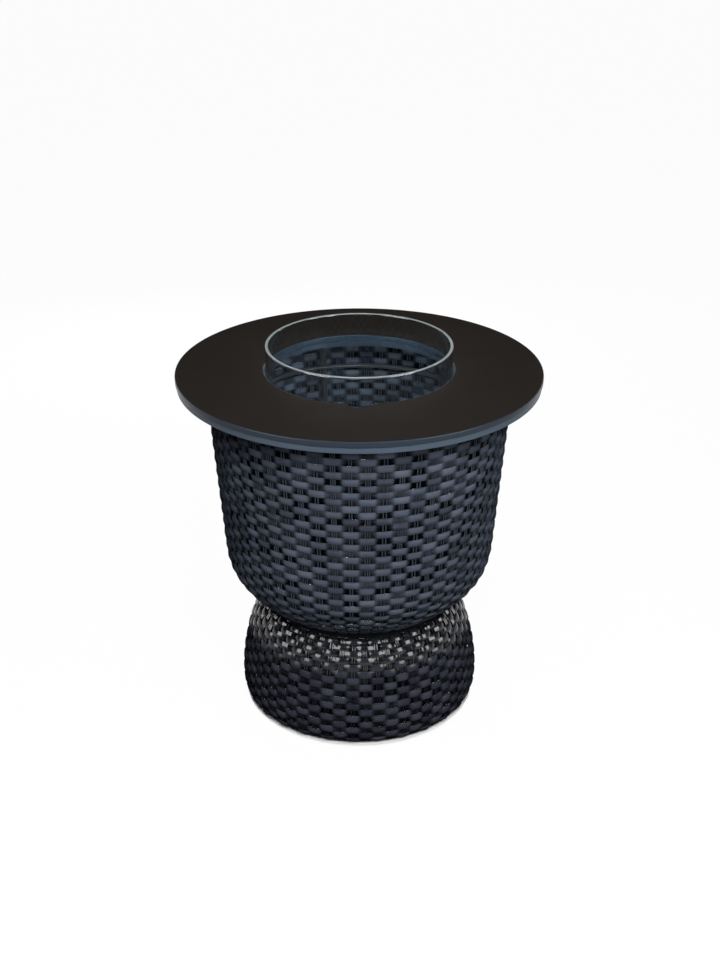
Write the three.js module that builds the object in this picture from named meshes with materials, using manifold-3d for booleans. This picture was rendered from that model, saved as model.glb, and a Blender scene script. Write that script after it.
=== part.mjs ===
// Ice bucket coffee table: a round top over a woven tub that stands on a woven round foot.
// Both skins are flat synthetic rattan on a welded frame of round rods, and a clear bowl
// drops through the top onto a cradle inside the tub.
// Millimetres, +Z up. The origin is on the floor, under the middle of the top.

import * as THREE from 'three';
import Module from 'manifold-3d';
import { mergeVertices } from 'three/addons/utils/BufferGeometryUtils.js';

// Gap left between parts that touch
const SEAT_GAP = 0.3;

// Round top and the metal bands under its edge and round its hole
const TOP_HEIGHT = 425;
const TOP_RADIUS = 210;
const PANEL_THICKNESS = 7;
const PANEL_EASE = 0.8;
const BAND_INSET = 1.6;
const BAND_HEIGHT = 6.5;
const BAND_WALL = 2;
const BAND_CHAMFER = 1.2;
const BAND_FLANGE = 16;
const BAND_FLANGE_THICKNESS = 1.5;

// Clear bowl, the hole that it drops through and the finger notch at the front
const BOWL_RADIUS = 107;
const BOWL_HEIGHT = 205;
const BOWL_RISE = 29;
const BOWL_WALL = 3.5;
const BOWL_FLOOR = 4;
const BOWL_CORNER = 24;
const BOWL_LIP = 1.2;
const HOLE_CLEARANCE = 2;
const NOTCH_WIDTH = 30;
const NOTCH_DEPTH = 10;
const HOLE_BAND_WALL = 3;

// Woven skins: columns of stakes round the table, and rows of flat strands up it
const STAKE_COLUMNS = 58;
const STRAND_PITCH = 8.2;
const WEAVE_RELIEF = 1.7;
const SKIN_DEPTH = 4.6;
const TUB_LINING_STEPS = 7;
const FOOT_LINING_STEPS = 6;

// Outside of the tub: it stands in from the edge of the top, draws in to the hip in a
// straight taper, swells again at the shoulder and draws in to the waist
const TUB_INSET = 32.6;
const HIP_DRAW = 14.4;
const HIP_HEIGHT = 232;
const SHOULDER_EASE = 40;
const SHOULDER_SWELL = 0.5;
const SHOULDER_HEIGHT = 171.5;
const WAIST_DRAW = 52.5;
const WAIST_HEIGHT = 135;

// Outside of the foot: it swells from the waist and turns in under itself
const BELLY_SWELL = 29;
const BELLY_HEIGHT = 125;
const KEEL_SWELL = 48;
const SOLE_SWELL = 26.5;
const SOLE_LIFT = 4;

// Welded frame: ribs that follow the skins, and hoops inside them
const RIB_COUNT = 6;
const RIB_TURN = THREE.MathUtils.degToRad(46.5);
const RIB_ROD = 4;
const RIB_GAP = 0.9;
const RIB_TAIL = 4;
const ROD_SIDES = 6;
const TUB_RIB_STEPS = 16;
const FOOT_RIB_STEPS = 8;
const HOOP_ROD = 2.5;
const HOOP_SEGMENTS = 30;
const UPPER_HOOP_DROP = 58;
const SHOULDER_HOOP_DROP = 37.9;
const BELLY_HOOP_HEIGHT = 62;
const WAIST_HOOP_SHARE = 0.4;

// Flat ring on the ribs that the top is screwed to
const RING_WIDTH = 20;
const RING_THICKNESS = 3;
const RING_GAP = 1.2;
const SCREW_SHANK = 2.5;
const SCREW_HEAD = 5;
const SCREW_HEAD_HEIGHT = 2.6;
const SCREW_BITE = 4.5;
const SCREW_SIDES = 8;
const SCREW_TURN = THREE.MathUtils.degToRad(30);

// Cradle under the bowl: a flat ring on three arms, with soft pads
const CRADLE_COUNT = 3;
const CRADLE_RADIUS = 80;
const CRADLE_WIDTH = 24;
const CRADLE_THICKNESS = 3;
const ARM_WIDTH = 16;
const PAD_RADIUS = 7;
const PAD_HEIGHT = 2.5;
const PAD_SIDES = 10;

// Glides under the foot
const GLIDE_RADIUS = 4.5;
const GLIDE_EASE = 0.6;
const GLIDE_SIDES = 8;

// Facets of the round parts
const TOP_SEGMENTS = 60;
const HOLE_SEGMENTS = 42;
const NOTCH_SEGMENTS = 6;
const BOWL_SEGMENTS = 36;
const CORNER_STEPS = 4;

const FULL_TURN = 2 * Math.PI;

// Materials

const laminate = new THREE.MeshStandardMaterial({ color: 0x2a2623, roughness: 0.55, metalness: 0 });
const paintedBand = new THREE.MeshStandardMaterial({ color: 0x3a4656, roughness: 0.4, metalness: 0.3 });
const powderCoat = new THREE.MeshStandardMaterial({ color: 0x1b1d20, roughness: 0.6, metalness: 0.2 });
const rattan = new THREE.MeshStandardMaterial({ color: 0x23262c, roughness: 0.5, flatShading: true });
const clearPlastic = new THREE.MeshStandardMaterial({
  color: 0xe9f0f1, roughness: 0.05, metalness: 0, transparent: true, opacity: 0.3,
});
const silicone = new THREE.MeshStandardMaterial({ color: 0xc9cbc8, roughness: 0.8, metalness: 0 });
const nylon = new THREE.MeshStandardMaterial({ color: 0x141517, roughness: 0.6, metalness: 0 });
const stainless = new THREE.MeshStandardMaterial({ color: 0xb9bdc1, roughness: 0.35, metalness: 1 });

// Heights and radii that follow from the sizes above

const panelUnderside = TOP_HEIGHT - PANEL_THICKNESS;
const underPanel = panelUnderside - SEAT_GAP;
const holeRadius = BOWL_RADIUS + HOLE_CLEARANCE;
const tubTopRadius = TOP_RADIUS - TUB_INSET;
const hipRadius = tubTopRadius - HIP_DRAW;
const waistRadius = hipRadius - WAIST_DRAW;
const soleRadius = waistRadius + SOLE_SWELL;
const bowlBase = TOP_HEIGHT + BOWL_RISE - BOWL_HEIGHT;
const ringUnderside = underPanel - RING_THICKNESS;
const ringRadius = tubTopRadius - SKIN_DEPTH - RING_GAP;
const screwCircle = ringRadius - RING_WIDTH / 2;
const ribInset = SKIN_DEPTH + RIB_GAP + RIB_ROD;
const rodMeeting = RIB_ROD + HOOP_ROD + SEAT_GAP;
const hoopInset = ribInset + rodMeeting;
const cradleTop = bowlBase - 2 * SEAT_GAP - PAD_HEIGHT;
const shoulderHoopHeight = cradleTop - CRADLE_THICKNESS - SHOULDER_HOOP_DROP;
const padCircle = CRADLE_RADIUS - CRADLE_WIDTH / 2;
const soleHoopHeight = SOLE_LIFT + ribInset - rodMeeting;
const glideHeight = soleHoopHeight - HOOP_ROD - SEAT_GAP;

// Shapes shared by several parts

/** A point of an outline: its distance from the table's axis and its height. */
function at(radius, height) {
  return new THREE.Vector2(radius, height);
}

/** Points along an arc about a centre, both ends included. */
function arc(centre, radius, from, to, steps) {
  const points = [];
  for (let step = 0; step <= steps; step += 1) {
    const angle = THREE.MathUtils.lerp(from, to, step / steps);
    const spoke = at(Math.cos(angle), Math.sin(angle)).multiplyScalar(radius);
    points.push(centre.clone().add(spoke));
  }
  return points;
}

/** A regular polygon that stands for a circle. */
function circle(radius, sides) {
  return arc(at(0, 0), radius, 0, FULL_TURN, sides).slice(1);
}

/** A solid of revolution about +Z from an outline of radii and heights. */
function revolve(outline, segments) {
  return new THREE.LatheGeometry(outline, segments).rotateX(Math.PI / 2);
}

/** A flat plate with holes, its lower face at zero height. */
function plate(outline, holes, thickness) {
  const shape = new THREE.Shape(outline);
  shape.holes = holes.map((hole) => new THREE.Path(hole));
  return new THREE.ExtrudeGeometry(shape, { depth: thickness, bevelEnabled: false });
}

/** A flat plate whose edges are all eased by the same small chamfer. */
function easedPlate(outline, holes, thickness, ease) {
  const shape = new THREE.Shape(outline);
  shape.holes = holes.map((hole) => new THREE.Path(hole));
  const geometry = new THREE.ExtrudeGeometry(shape, {
    depth: thickness - 2 * ease,
    bevelThickness: ease,
    bevelSize: ease,
    bevelOffset: -ease,
    bevelSegments: 1,
  });
  return geometry.translate(0, 0, ease);
}

/** Centres of screws or pads, evenly spaced on a circle. */
function onCircle(radius, count, turn) {
  const points = [];
  for (let index = 0; index < count; index += 1) {
    const angle = turn + (index * FULL_TURN) / count;
    points.push(at(Math.cos(angle), Math.sin(angle)).multiplyScalar(radius));
  }
  return points;
}

// Boolean cuts

const wasm = await Module();
wasm.setup();

/** The same closed mesh as a solid that can be cut. */
function toSolid(geometry) {
  const bare = geometry.clone();
  bare.deleteAttribute('normal');
  bare.deleteAttribute('uv');
  const merged = mergeVertices(bare);
  return new wasm.Manifold(new wasm.Mesh({
    numProp: 3,
    vertProperties: new Float32Array(merged.attributes.position.array),
    triVerts: new Uint32Array(merged.index.array),
  }));
}

/** A body with each of the tools cut away from it. */
function cut(body, tools) {
  let solid = toSolid(body);
  for (const tool of tools) {
    solid = solid.subtract(toSolid(tool));
  }
  const { vertProperties, triVerts } = solid.getMesh();
  const geometry = new THREE.BufferGeometry();
  geometry.setAttribute('position', new THREE.BufferAttribute(vertProperties, 3));
  geometry.setIndex(new THREE.BufferAttribute(triVerts, 1));
  geometry.computeVertexNormals();
  return geometry;
}

// Outside profiles of the two skins, each drawn from its top edge down

function tubProfile() {
  const hip = at(hipRadius, HIP_HEIGHT);
  const slope = HIP_DRAW / (underPanel - HIP_HEIGHT);
  const rim = at(tubTopRadius, underPanel - slope * SKIN_DEPTH);
  const taper = hip.clone().sub(rim).normalize();
  const profile = new THREE.CurvePath();
  profile.add(new THREE.LineCurve(rim, hip));
  profile.add(new THREE.CubicBezierCurve(
    hip,
    taper.multiplyScalar(SHOULDER_EASE).add(hip),
    at(hipRadius + SHOULDER_SWELL, SHOULDER_HEIGHT),
    at(waistRadius, WAIST_HEIGHT + SEAT_GAP / 2),
  ));
  return profile;
}

function footProfile() {
  const profile = new THREE.CurvePath();
  profile.add(new THREE.CubicBezierCurve(
    at(waistRadius, WAIST_HEIGHT - SEAT_GAP / 2),
    at(waistRadius + BELLY_SWELL, BELLY_HEIGHT),
    at(waistRadius + KEEL_SWELL, 0),
    at(soleRadius, SOLE_LIFT),
  ));
  return profile;
}

/** The direction into the table at a share of a profile's length. */
function inward(profile, share) {
  const along = profile.getTangent(share);
  return at(along.y, -along.x);
}

/** The point that lies a depth inside a profile, at a share of its length. */
function inside(profile, share, depth) {
  return profile.getPoint(share).addScaledVector(inward(profile, share), depth);
}

/** The share of a profile at which the line a depth inside it is at a height. */
function shareAtHeight(profile, depth, height) {
  let above = 0;
  let below = 1;
  while (below - above > Number.EPSILON) {
    const middle = (above + below) / 2;
    if (middle === above || middle === below) {
      break;
    }
    if (inside(profile, middle, depth).y > height) {
      above = middle;
    } else {
      below = middle;
    }
  }
  return above;
}

// The woven skin: the part of the table that takes the most skill to make

/**
 * A plain weave as one closed skin. Each strand passes over one stake and under the next,
 * and the next row does the opposite, so the outside swells at every crossing and falls
 * away to valleys that join up between the crossings.
 * The two edge rows are bound flat, and the lining inside is smooth.
 */
function wovenSkin(profile, liningShares) {
  const rows = Math.round(profile.getLength() / STRAND_PITCH);
  const rings = [];
  for (let row = 0; row <= rows; row += 1) {
    const share = row / rows;
    const bound = row === 0 || row === rows;
    const over = inside(profile, share, 0);
    const under = inside(profile, share, bound ? 0 : WEAVE_RELIEF);
    rings.push({ over, under, row });
  }
  for (const share of liningShares) {
    const lining = inside(profile, share, SKIN_DEPTH);
    rings.push({ over: lining, under: lining, row: 0 });
  }
  return closedRings(rings);
}

/** Joins rings of stake columns into one closed skin, and the last ring to the first. */
function closedRings(rings) {
  const positions = [];
  for (const { over, under, row } of rings) {
    for (let column = 0; column < STAKE_COLUMNS; column += 1) {
      const angle = ((column + 0.5) * FULL_TURN) / STAKE_COLUMNS - Math.PI / 2;
      const point = (column + row) % 2 === 0 ? over : under;
      positions.push(point.x * Math.cos(angle), point.x * Math.sin(angle), point.y);
    }
  }
  const faces = [];
  rings.forEach((ring, index) => {
    const lower = (index + 1) % rings.length;
    for (let column = 0; column < STAKE_COLUMNS; column += 1) {
      const next = (column + 1) % STAKE_COLUMNS;
      const a = index * STAKE_COLUMNS + column;
      const b = lower * STAKE_COLUMNS + column;
      const c = lower * STAKE_COLUMNS + next;
      const d = index * STAKE_COLUMNS + next;
      const valley = (column + ring.row) % 2 !== 0;
      faces.push(...(valley ? [a, b, c, a, c, d] : [a, b, d, b, c, d]));
    }
  });
  const geometry = new THREE.BufferGeometry();
  geometry.setAttribute('position', new THREE.Float32BufferAttribute(positions, 3));
  geometry.setIndex(faces);
  geometry.computeVertexNormals();
  return geometry;
}

/** Shares from the bottom edge of a profile back up to its top edge. */
function liningShares(from, steps) {
  const shares = [];
  for (let step = steps; step >= 0; step -= 1) {
    shares.push(THREE.MathUtils.lerp(from, 1, step / steps));
  }
  return from > 0 ? [...shares, 0] : shares;
}

function tubSkin() {
  const profile = tubProfile();
  const straightShare = profile.curves[0].getLength() / profile.getLength();
  return wovenSkin(profile, liningShares(straightShare, TUB_LINING_STEPS));
}

function footSkin() {
  return wovenSkin(footProfile(), liningShares(0, FOOT_LINING_STEPS));
}

// The welded frame

/** A rod bent along points in the plane of +X and +Z. */
function bentRod(points, radius, steps) {
  const bends = points.map((point) => new THREE.Vector3(point.x, 0, point.y));
  const path = new THREE.CatmullRomCurve3(bends);
  const section = new THREE.Shape(circle(radius, ROD_SIDES));
  return new THREE.ExtrudeGeometry(section, { steps, bevelEnabled: false, extrudePath: path });
}

/** Points of a rib that follows a profile between two shares of its length. */
function ribLine(profile, from, steps) {
  const points = [];
  for (let step = 0; step <= steps; step += 1) {
    points.push(inside(profile, THREE.MathUtils.lerp(from, 1, step / steps), ribInset));
  }
  return points;
}

/** The point where a rib's end runs on past its profile, to lie against a hoop. */
function tail(profile, share, outward) {
  const end = inside(profile, share, ribInset);
  return end.addScaledVector(profile.getTangent(share), outward * RIB_TAIL);
}

function tubRib() {
  const profile = tubProfile();
  const lean = Math.abs(profile.getTangent(0).x) * RIB_ROD;
  const top = shareAtHeight(profile, ribInset, ringUnderside - SEAT_GAP - lean);
  const line = ribLine(profile, top, TUB_RIB_STEPS);
  return bentRod([...line, tail(profile, 1, 1)], RIB_ROD, TUB_RIB_STEPS);
}

function footRib() {
  const profile = footProfile();
  const line = ribLine(profile, 0, FOOT_RIB_STEPS);
  return bentRod([tail(profile, 0, -1), ...line, tail(profile, 1, 1)], RIB_ROD, FOOT_RIB_STEPS);
}

/** A hoop of round rod about the table's axis. */
function hoop(centre) {
  const geometry = new THREE.TorusGeometry(centre.x, HOOP_ROD, ROD_SIDES, HOOP_SEGMENTS);
  return geometry.rotateZ(RIB_TURN).translate(0, 0, centre.y);
}

/** The centre of a hoop welded to the inside of the ribs at a height. */
function hoopAtHeight(profile, height) {
  return inside(profile, shareAtHeight(profile, hoopInset, height), hoopInset);
}

/** The waist hoop lies in the crease between the two skins, outside the ends of the ribs. */
function waistHoopCentre() {
  const tubSlope = -inward(tubProfile(), 1).x;
  const footSlope = -inward(footProfile(), 0).x;
  const nearest = HOOP_ROD + SEAT_GAP;
  const farthest = (ribInset - rodMeeting) / Math.max(tubSlope, footSlope);
  const inset = THREE.MathUtils.lerp(nearest, farthest, WAIST_HOOP_SHARE);
  return at(waistRadius - inset, WAIST_HEIGHT);
}

/** The sole hoop lies under the lower ends of the ribs, just inside the skin's edge. */
function soleHoopCentre() {
  return at(soleRadius - HOOP_ROD - SEAT_GAP, soleHoopHeight);
}

// The top

/**
 * The hole for the bowl, with a shallow round notch at the front for a finger.
 * A wall's thickness round the hole gives the outside of the band that lines it.
 */
function bowlHole(wall) {
  const chord = Math.sqrt(holeRadius ** 2 - (NOTCH_WIDTH / 2) ** 2);
  const sag = holeRadius + NOTCH_DEPTH - chord;
  const notchRadius = ((NOTCH_WIDTH / 2) ** 2 + sag ** 2) / (2 * sag);
  const setback = chord + sag - notchRadius;
  const round = holeRadius + wall;
  const nook = notchRadius + wall;
  const corner = (round ** 2 - nook ** 2 + setback ** 2) / (2 * setback);
  const half = Math.acos(corner / round);
  const reach = Math.acos((corner - setback) / nook);
  const front = -Math.PI / 2;
  const around = arc(at(0, 0), round, front + half, front - half + FULL_TURN, HOLE_SEGMENTS);
  const notch = arc(at(0, -setback), nook, front - reach, front + reach, NOTCH_SEGMENTS);
  return [...around, ...notch.slice(1, -1)];
}

function topPanel() {
  const outline = circle(TOP_RADIUS, TOP_SEGMENTS);
  const panel = easedPlate(outline, [bowlHole(0)], PANEL_THICKNESS, PANEL_EASE);
  const radius = SCREW_SHANK + SEAT_GAP;
  const depth = SCREW_BITE + SEAT_GAP;
  const pilots = onCircle(screwCircle, RIB_COUNT, SCREW_TURN + RIB_TURN).map((centre) => {
    const pilot = new THREE.CylinderGeometry(radius, radius, 2 * depth, SCREW_SIDES);
    return pilot.rotateX(Math.PI / 2).translate(centre.x, centre.y, 0);
  });
  return cut(panel, pilots);
}

/** An angle rolled into a ring: a flange under the panel and a skirt down its edge. */
function edgeBand() {
  const outer = TOP_RADIUS - BAND_INSET;
  const bottom = underPanel - BAND_HEIGHT;
  const flange = underPanel - BAND_FLANGE_THICKNESS;
  return revolve([
    at(outer - BAND_CHAMFER, bottom),
    at(outer, bottom + BAND_CHAMFER),
    at(outer, underPanel),
    at(outer - BAND_FLANGE, underPanel),
    at(outer - BAND_FLANGE, flange),
    at(outer - BAND_WALL, flange),
    at(outer - BAND_WALL, bottom),
    at(outer - BAND_CHAMFER, bottom),
  ], TOP_SEGMENTS);
}

/** A flat bar on edge, bent round the hole and its notch, its lower edge at zero height. */
function holeBand() {
  return plate(bowlHole(HOLE_BAND_WALL), [bowlHole(0)], BAND_HEIGHT);
}

function mountingRing() {
  const holes = onCircle(screwCircle, RIB_COUNT, SCREW_TURN + RIB_TURN).map((centre) => (
    arc(centre, SCREW_SHANK + SEAT_GAP, 0, FULL_TURN, SCREW_SIDES).slice(1)
  ));
  const bore = circle(ringRadius - RING_WIDTH, HOOP_SEGMENTS);
  return plate(circle(ringRadius, HOOP_SEGMENTS), [bore, ...holes], RING_THICKNESS);
}

/** A pan-head screw that points up, its head's seat at zero height. */
function screw() {
  const length = RING_THICKNESS + 2 * SEAT_GAP + SCREW_BITE;
  return revolve([
    at(0, -SCREW_HEAD_HEIGHT),
    at(SCREW_HEAD - SCREW_HEAD_HEIGHT / 2, -SCREW_HEAD_HEIGHT),
    at(SCREW_HEAD, -SCREW_HEAD_HEIGHT / 2),
    at(SCREW_HEAD, 0),
    at(SCREW_SHANK, 0),
    at(SCREW_SHANK, length),
    at(0, length),
  ], SCREW_SIDES);
}

// The bowl and its cradle

/** The bowl, its outer floor at zero height. */
function bowl() {
  const inner = BOWL_RADIUS - BOWL_WALL;
  const innerCorner = BOWL_CORNER - BOWL_WALL;
  const outerFoot = at(BOWL_RADIUS - BOWL_CORNER, BOWL_CORNER);
  const innerFoot = at(inner - innerCorner, BOWL_FLOOR + innerCorner);
  const quarter = Math.PI / 2;
  return revolve([
    at(0, 0),
    ...arc(outerFoot, BOWL_CORNER, -quarter, 0, CORNER_STEPS),
    at(BOWL_RADIUS, BOWL_HEIGHT - BOWL_LIP),
    at(BOWL_RADIUS - BOWL_LIP, BOWL_HEIGHT),
    at(inner + BOWL_LIP, BOWL_HEIGHT),
    at(inner, BOWL_HEIGHT - BOWL_LIP),
    ...arc(innerFoot, innerCorner, 0, -quarter, CORNER_STEPS),
    at(0, BOWL_FLOOR),
  ], BOWL_SEGMENTS);
}

/** The flat ring under the bowl, its top face at zero height. */
function cradleRing() {
  const inner = CRADLE_RADIUS - CRADLE_WIDTH;
  const bore = circle(inner, HOOP_SEGMENTS);
  const ring = plate(circle(CRADLE_RADIUS, HOOP_SEGMENTS), [bore], CRADLE_THICKNESS);
  return ring.rotateZ(RIB_TURN).translate(0, 0, -CRADLE_THICKNESS);
}

/** A flat arm from the cradle ring out to a rib, along +X. */
function cradleArm() {
  const profile = tubProfile();
  const height = cradleTop - CRADLE_THICKNESS / 2;
  const rib = inside(profile, shareAtHeight(profile, ribInset, height), ribInset);
  const inner = CRADLE_RADIUS + SEAT_GAP;
  const outer = rib.x - RIB_ROD - SEAT_GAP;
  const arm = new THREE.BoxGeometry(outer - inner, ARM_WIDTH, CRADLE_THICKNESS);
  return arm.translate((inner + outer) / 2, 0, -CRADLE_THICKNESS / 2);
}

function pad() {
  const geometry = new THREE.CylinderGeometry(PAD_RADIUS, PAD_RADIUS, PAD_HEIGHT, PAD_SIDES);
  return geometry.rotateX(Math.PI / 2).translate(0, 0, PAD_HEIGHT / 2);
}

/** A glide with an eased lower edge, standing on the floor under the sole hoop. */
function glide() {
  return revolve([
    at(0, 0),
    at(GLIDE_RADIUS - GLIDE_EASE, 0),
    at(GLIDE_RADIUS, GLIDE_EASE),
    at(GLIDE_RADIUS, glideHeight),
    at(0, glideHeight),
  ], GLIDE_SIDES);
}

// Assembly

/** Adds a named mesh to a group and returns the mesh. */
function place(parent, name, geometry, material) {
  const mesh = new THREE.Mesh(geometry, material);
  mesh.name = name;
  parent.add(mesh);
  return mesh;
}

/** Adds numbered copies of a part, turned about the table's axis. */
function placeAround(parent, name, geometry, material, count, turn) {
  for (let index = 0; index < count; index += 1) {
    const mesh = place(parent, `${name}_${index + 1}`, geometry, material);
    mesh.rotation.z = turn + (index * FULL_TURN) / count;
  }
}

const group = new THREE.Group();

const frame = new THREE.Group();
place(frame, 'upper_hoop', hoop(hoopAtHeight(tubProfile(), TOP_HEIGHT - UPPER_HOOP_DROP)), powderCoat);
place(frame, 'shoulder_hoop', hoop(hoopAtHeight(tubProfile(), shoulderHoopHeight)), powderCoat);
place(frame, 'waist_hoop', hoop(waistHoopCentre()), powderCoat);
place(frame, 'belly_hoop', hoop(hoopAtHeight(footProfile(), BELLY_HOOP_HEIGHT)), powderCoat);
place(frame, 'sole_hoop', hoop(soleHoopCentre()), powderCoat);
placeAround(frame, 'tub_rib', tubRib(), powderCoat, RIB_COUNT, RIB_TURN);
placeAround(frame, 'foot_rib', footRib(), powderCoat, RIB_COUNT, RIB_TURN);
group.add(frame);

const mounting = new THREE.Group();
mounting.position.z = ringUnderside;
place(mounting, 'mounting_ring', mountingRing(), powderCoat);
const screws = screw().translate(screwCircle, 0, -SEAT_GAP);
placeAround(mounting, 'top_screw', screws, stainless, RIB_COUNT, RIB_TURN + SCREW_TURN);
group.add(mounting);

const skins = new THREE.Group();
place(skins, 'tub_weave', tubSkin(), rattan);
place(skins, 'foot_weave', footSkin(), rattan);
group.add(skins);

const cradle = new THREE.Group();
cradle.position.z = cradleTop;
place(cradle, 'cradle_ring', cradleRing(), powderCoat);
placeAround(cradle, 'cradle_arm', cradleArm(), powderCoat, CRADLE_COUNT, RIB_TURN);
const pads = pad().translate(padCircle, 0, SEAT_GAP);
placeAround(cradle, 'bowl_pad', pads, silicone, CRADLE_COUNT, RIB_TURN);
group.add(cradle);

const glides = glide().translate(soleHoopCentre().x - GLIDE_RADIUS, 0, 0);
placeAround(group, 'glide', glides, nylon, RIB_COUNT, RIB_TURN);

place(group, 'top_panel', topPanel(), laminate).position.z = panelUnderside;
place(group, 'edge_band', edgeBand(), paintedBand);
place(group, 'hole_band', holeBand(), paintedBand).position.z = underPanel - BAND_HEIGHT;
place(group, 'ice_bowl', bowl(), clearPlastic).position.z = bowlBase;

export default group;
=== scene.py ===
import logging
import math
from dataclasses import dataclass
from enum import Enum

import bpy
import numpy as np
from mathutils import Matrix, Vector


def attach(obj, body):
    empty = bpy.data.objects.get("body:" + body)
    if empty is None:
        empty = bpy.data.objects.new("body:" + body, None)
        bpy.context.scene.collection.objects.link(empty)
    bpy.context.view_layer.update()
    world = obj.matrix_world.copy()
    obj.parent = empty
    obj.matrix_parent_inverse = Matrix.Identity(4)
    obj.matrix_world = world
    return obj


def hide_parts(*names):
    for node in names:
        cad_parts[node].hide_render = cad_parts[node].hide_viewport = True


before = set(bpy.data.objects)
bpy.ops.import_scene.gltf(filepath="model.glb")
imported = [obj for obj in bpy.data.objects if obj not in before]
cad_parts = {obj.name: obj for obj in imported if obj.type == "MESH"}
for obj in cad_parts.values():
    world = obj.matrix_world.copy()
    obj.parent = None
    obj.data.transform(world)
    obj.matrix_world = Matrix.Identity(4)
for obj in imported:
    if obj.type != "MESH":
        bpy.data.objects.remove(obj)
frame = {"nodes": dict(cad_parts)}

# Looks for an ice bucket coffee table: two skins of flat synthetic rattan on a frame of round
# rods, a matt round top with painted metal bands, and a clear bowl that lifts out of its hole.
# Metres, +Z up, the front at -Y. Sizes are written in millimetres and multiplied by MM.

log = logging.getLogger("ice_bucket_table")

MM = 0.001
TURN = 2 * math.pi
FRONT = -math.pi / 2
SEAT_GAP = 0.3 * MM

# The map that patterns follow along a piece
PIECE_MAP = "OFBake"
# The attribute that says how light a point of a strand is painted: painted light on its crests,
# painted shade where it dives and at its edges, and a random tone
PAINTED_LIGHT_AND_TONE = "tone"

# Points that agree to this many digits of a metre are one
MERGE_DIGITS = 7
# Steps of an outline that are shorter than this are left out
SHORTEST_STEP = 1e-9
# Edges that turn by more than this stay sharp
SHARP_ANGLE = math.radians(50)
# How far from a rounded corner its long faces are held flat, in radii
FLAT_LEAD = 1.35
# Points that draw a skin's straight and curved parts, and that look a height up on them
STRAIGHT_STEPS = 400
SHOULDER_STEPS = 600
FOOT_STEPS = 900
LOOKUP_STEPS = 4000


class Body(Enum):
    """The two bodies that pieces ride on."""

    TABLE = "table"
    BOWL = "bowl"


class Slot(Enum):
    """The names of the record's material slots, which no piece here takes."""

    LAMINATE = "top_laminate"
    BAND = "edge_metal"
    RATTAN = "rattan"
    BOWL = "clear_plastic"
    FRAME = "frame_metal"
    PAD = "pad_rubber"
    GLIDE = "glide_plastic"


# Colours and nodes


def linear(hex_colour: str, alpha: float = 1.0) -> tuple[float, float, float, float]:
    """Turns an sRGB hex colour into linear light.

    Args:
        hex_colour: six hex digits after a hash
        alpha: the fourth value
    Returns:
        Red, green, blue and alpha as Blender's sockets take them.
    """
    parts = [int(hex_colour[i:i + 2], 16) / 255 for i in (1, 3, 5)]
    light = [p / 12.92 if p <= 0.04045 else ((p + 0.055) / 1.055) ** 2.4 for p in parts]
    return (light[0], light[1], light[2], alpha)


def add_node(tree: bpy.types.NodeTree, kind: str, settings: dict | None = None,
             inputs: dict | None = None) -> bpy.types.Node:
    """Adds one node with its settings, values and links.

    Args:
        tree: the node tree to add to
        kind: the node's type name
        settings: properties of the node by name
        inputs: a value, or another node's output socket, by input name or number
    Returns:
        The new node.
    """
    node = tree.nodes.new(kind)
    for name, value in (settings or {}).items():
        setattr(node, name, value)
    for socket, value in (inputs or {}).items():
        if isinstance(value, bpy.types.NodeSocket):
            tree.links.new(value, node.inputs[socket])
        else:
            node.inputs[socket].default_value = value
    return node


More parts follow.
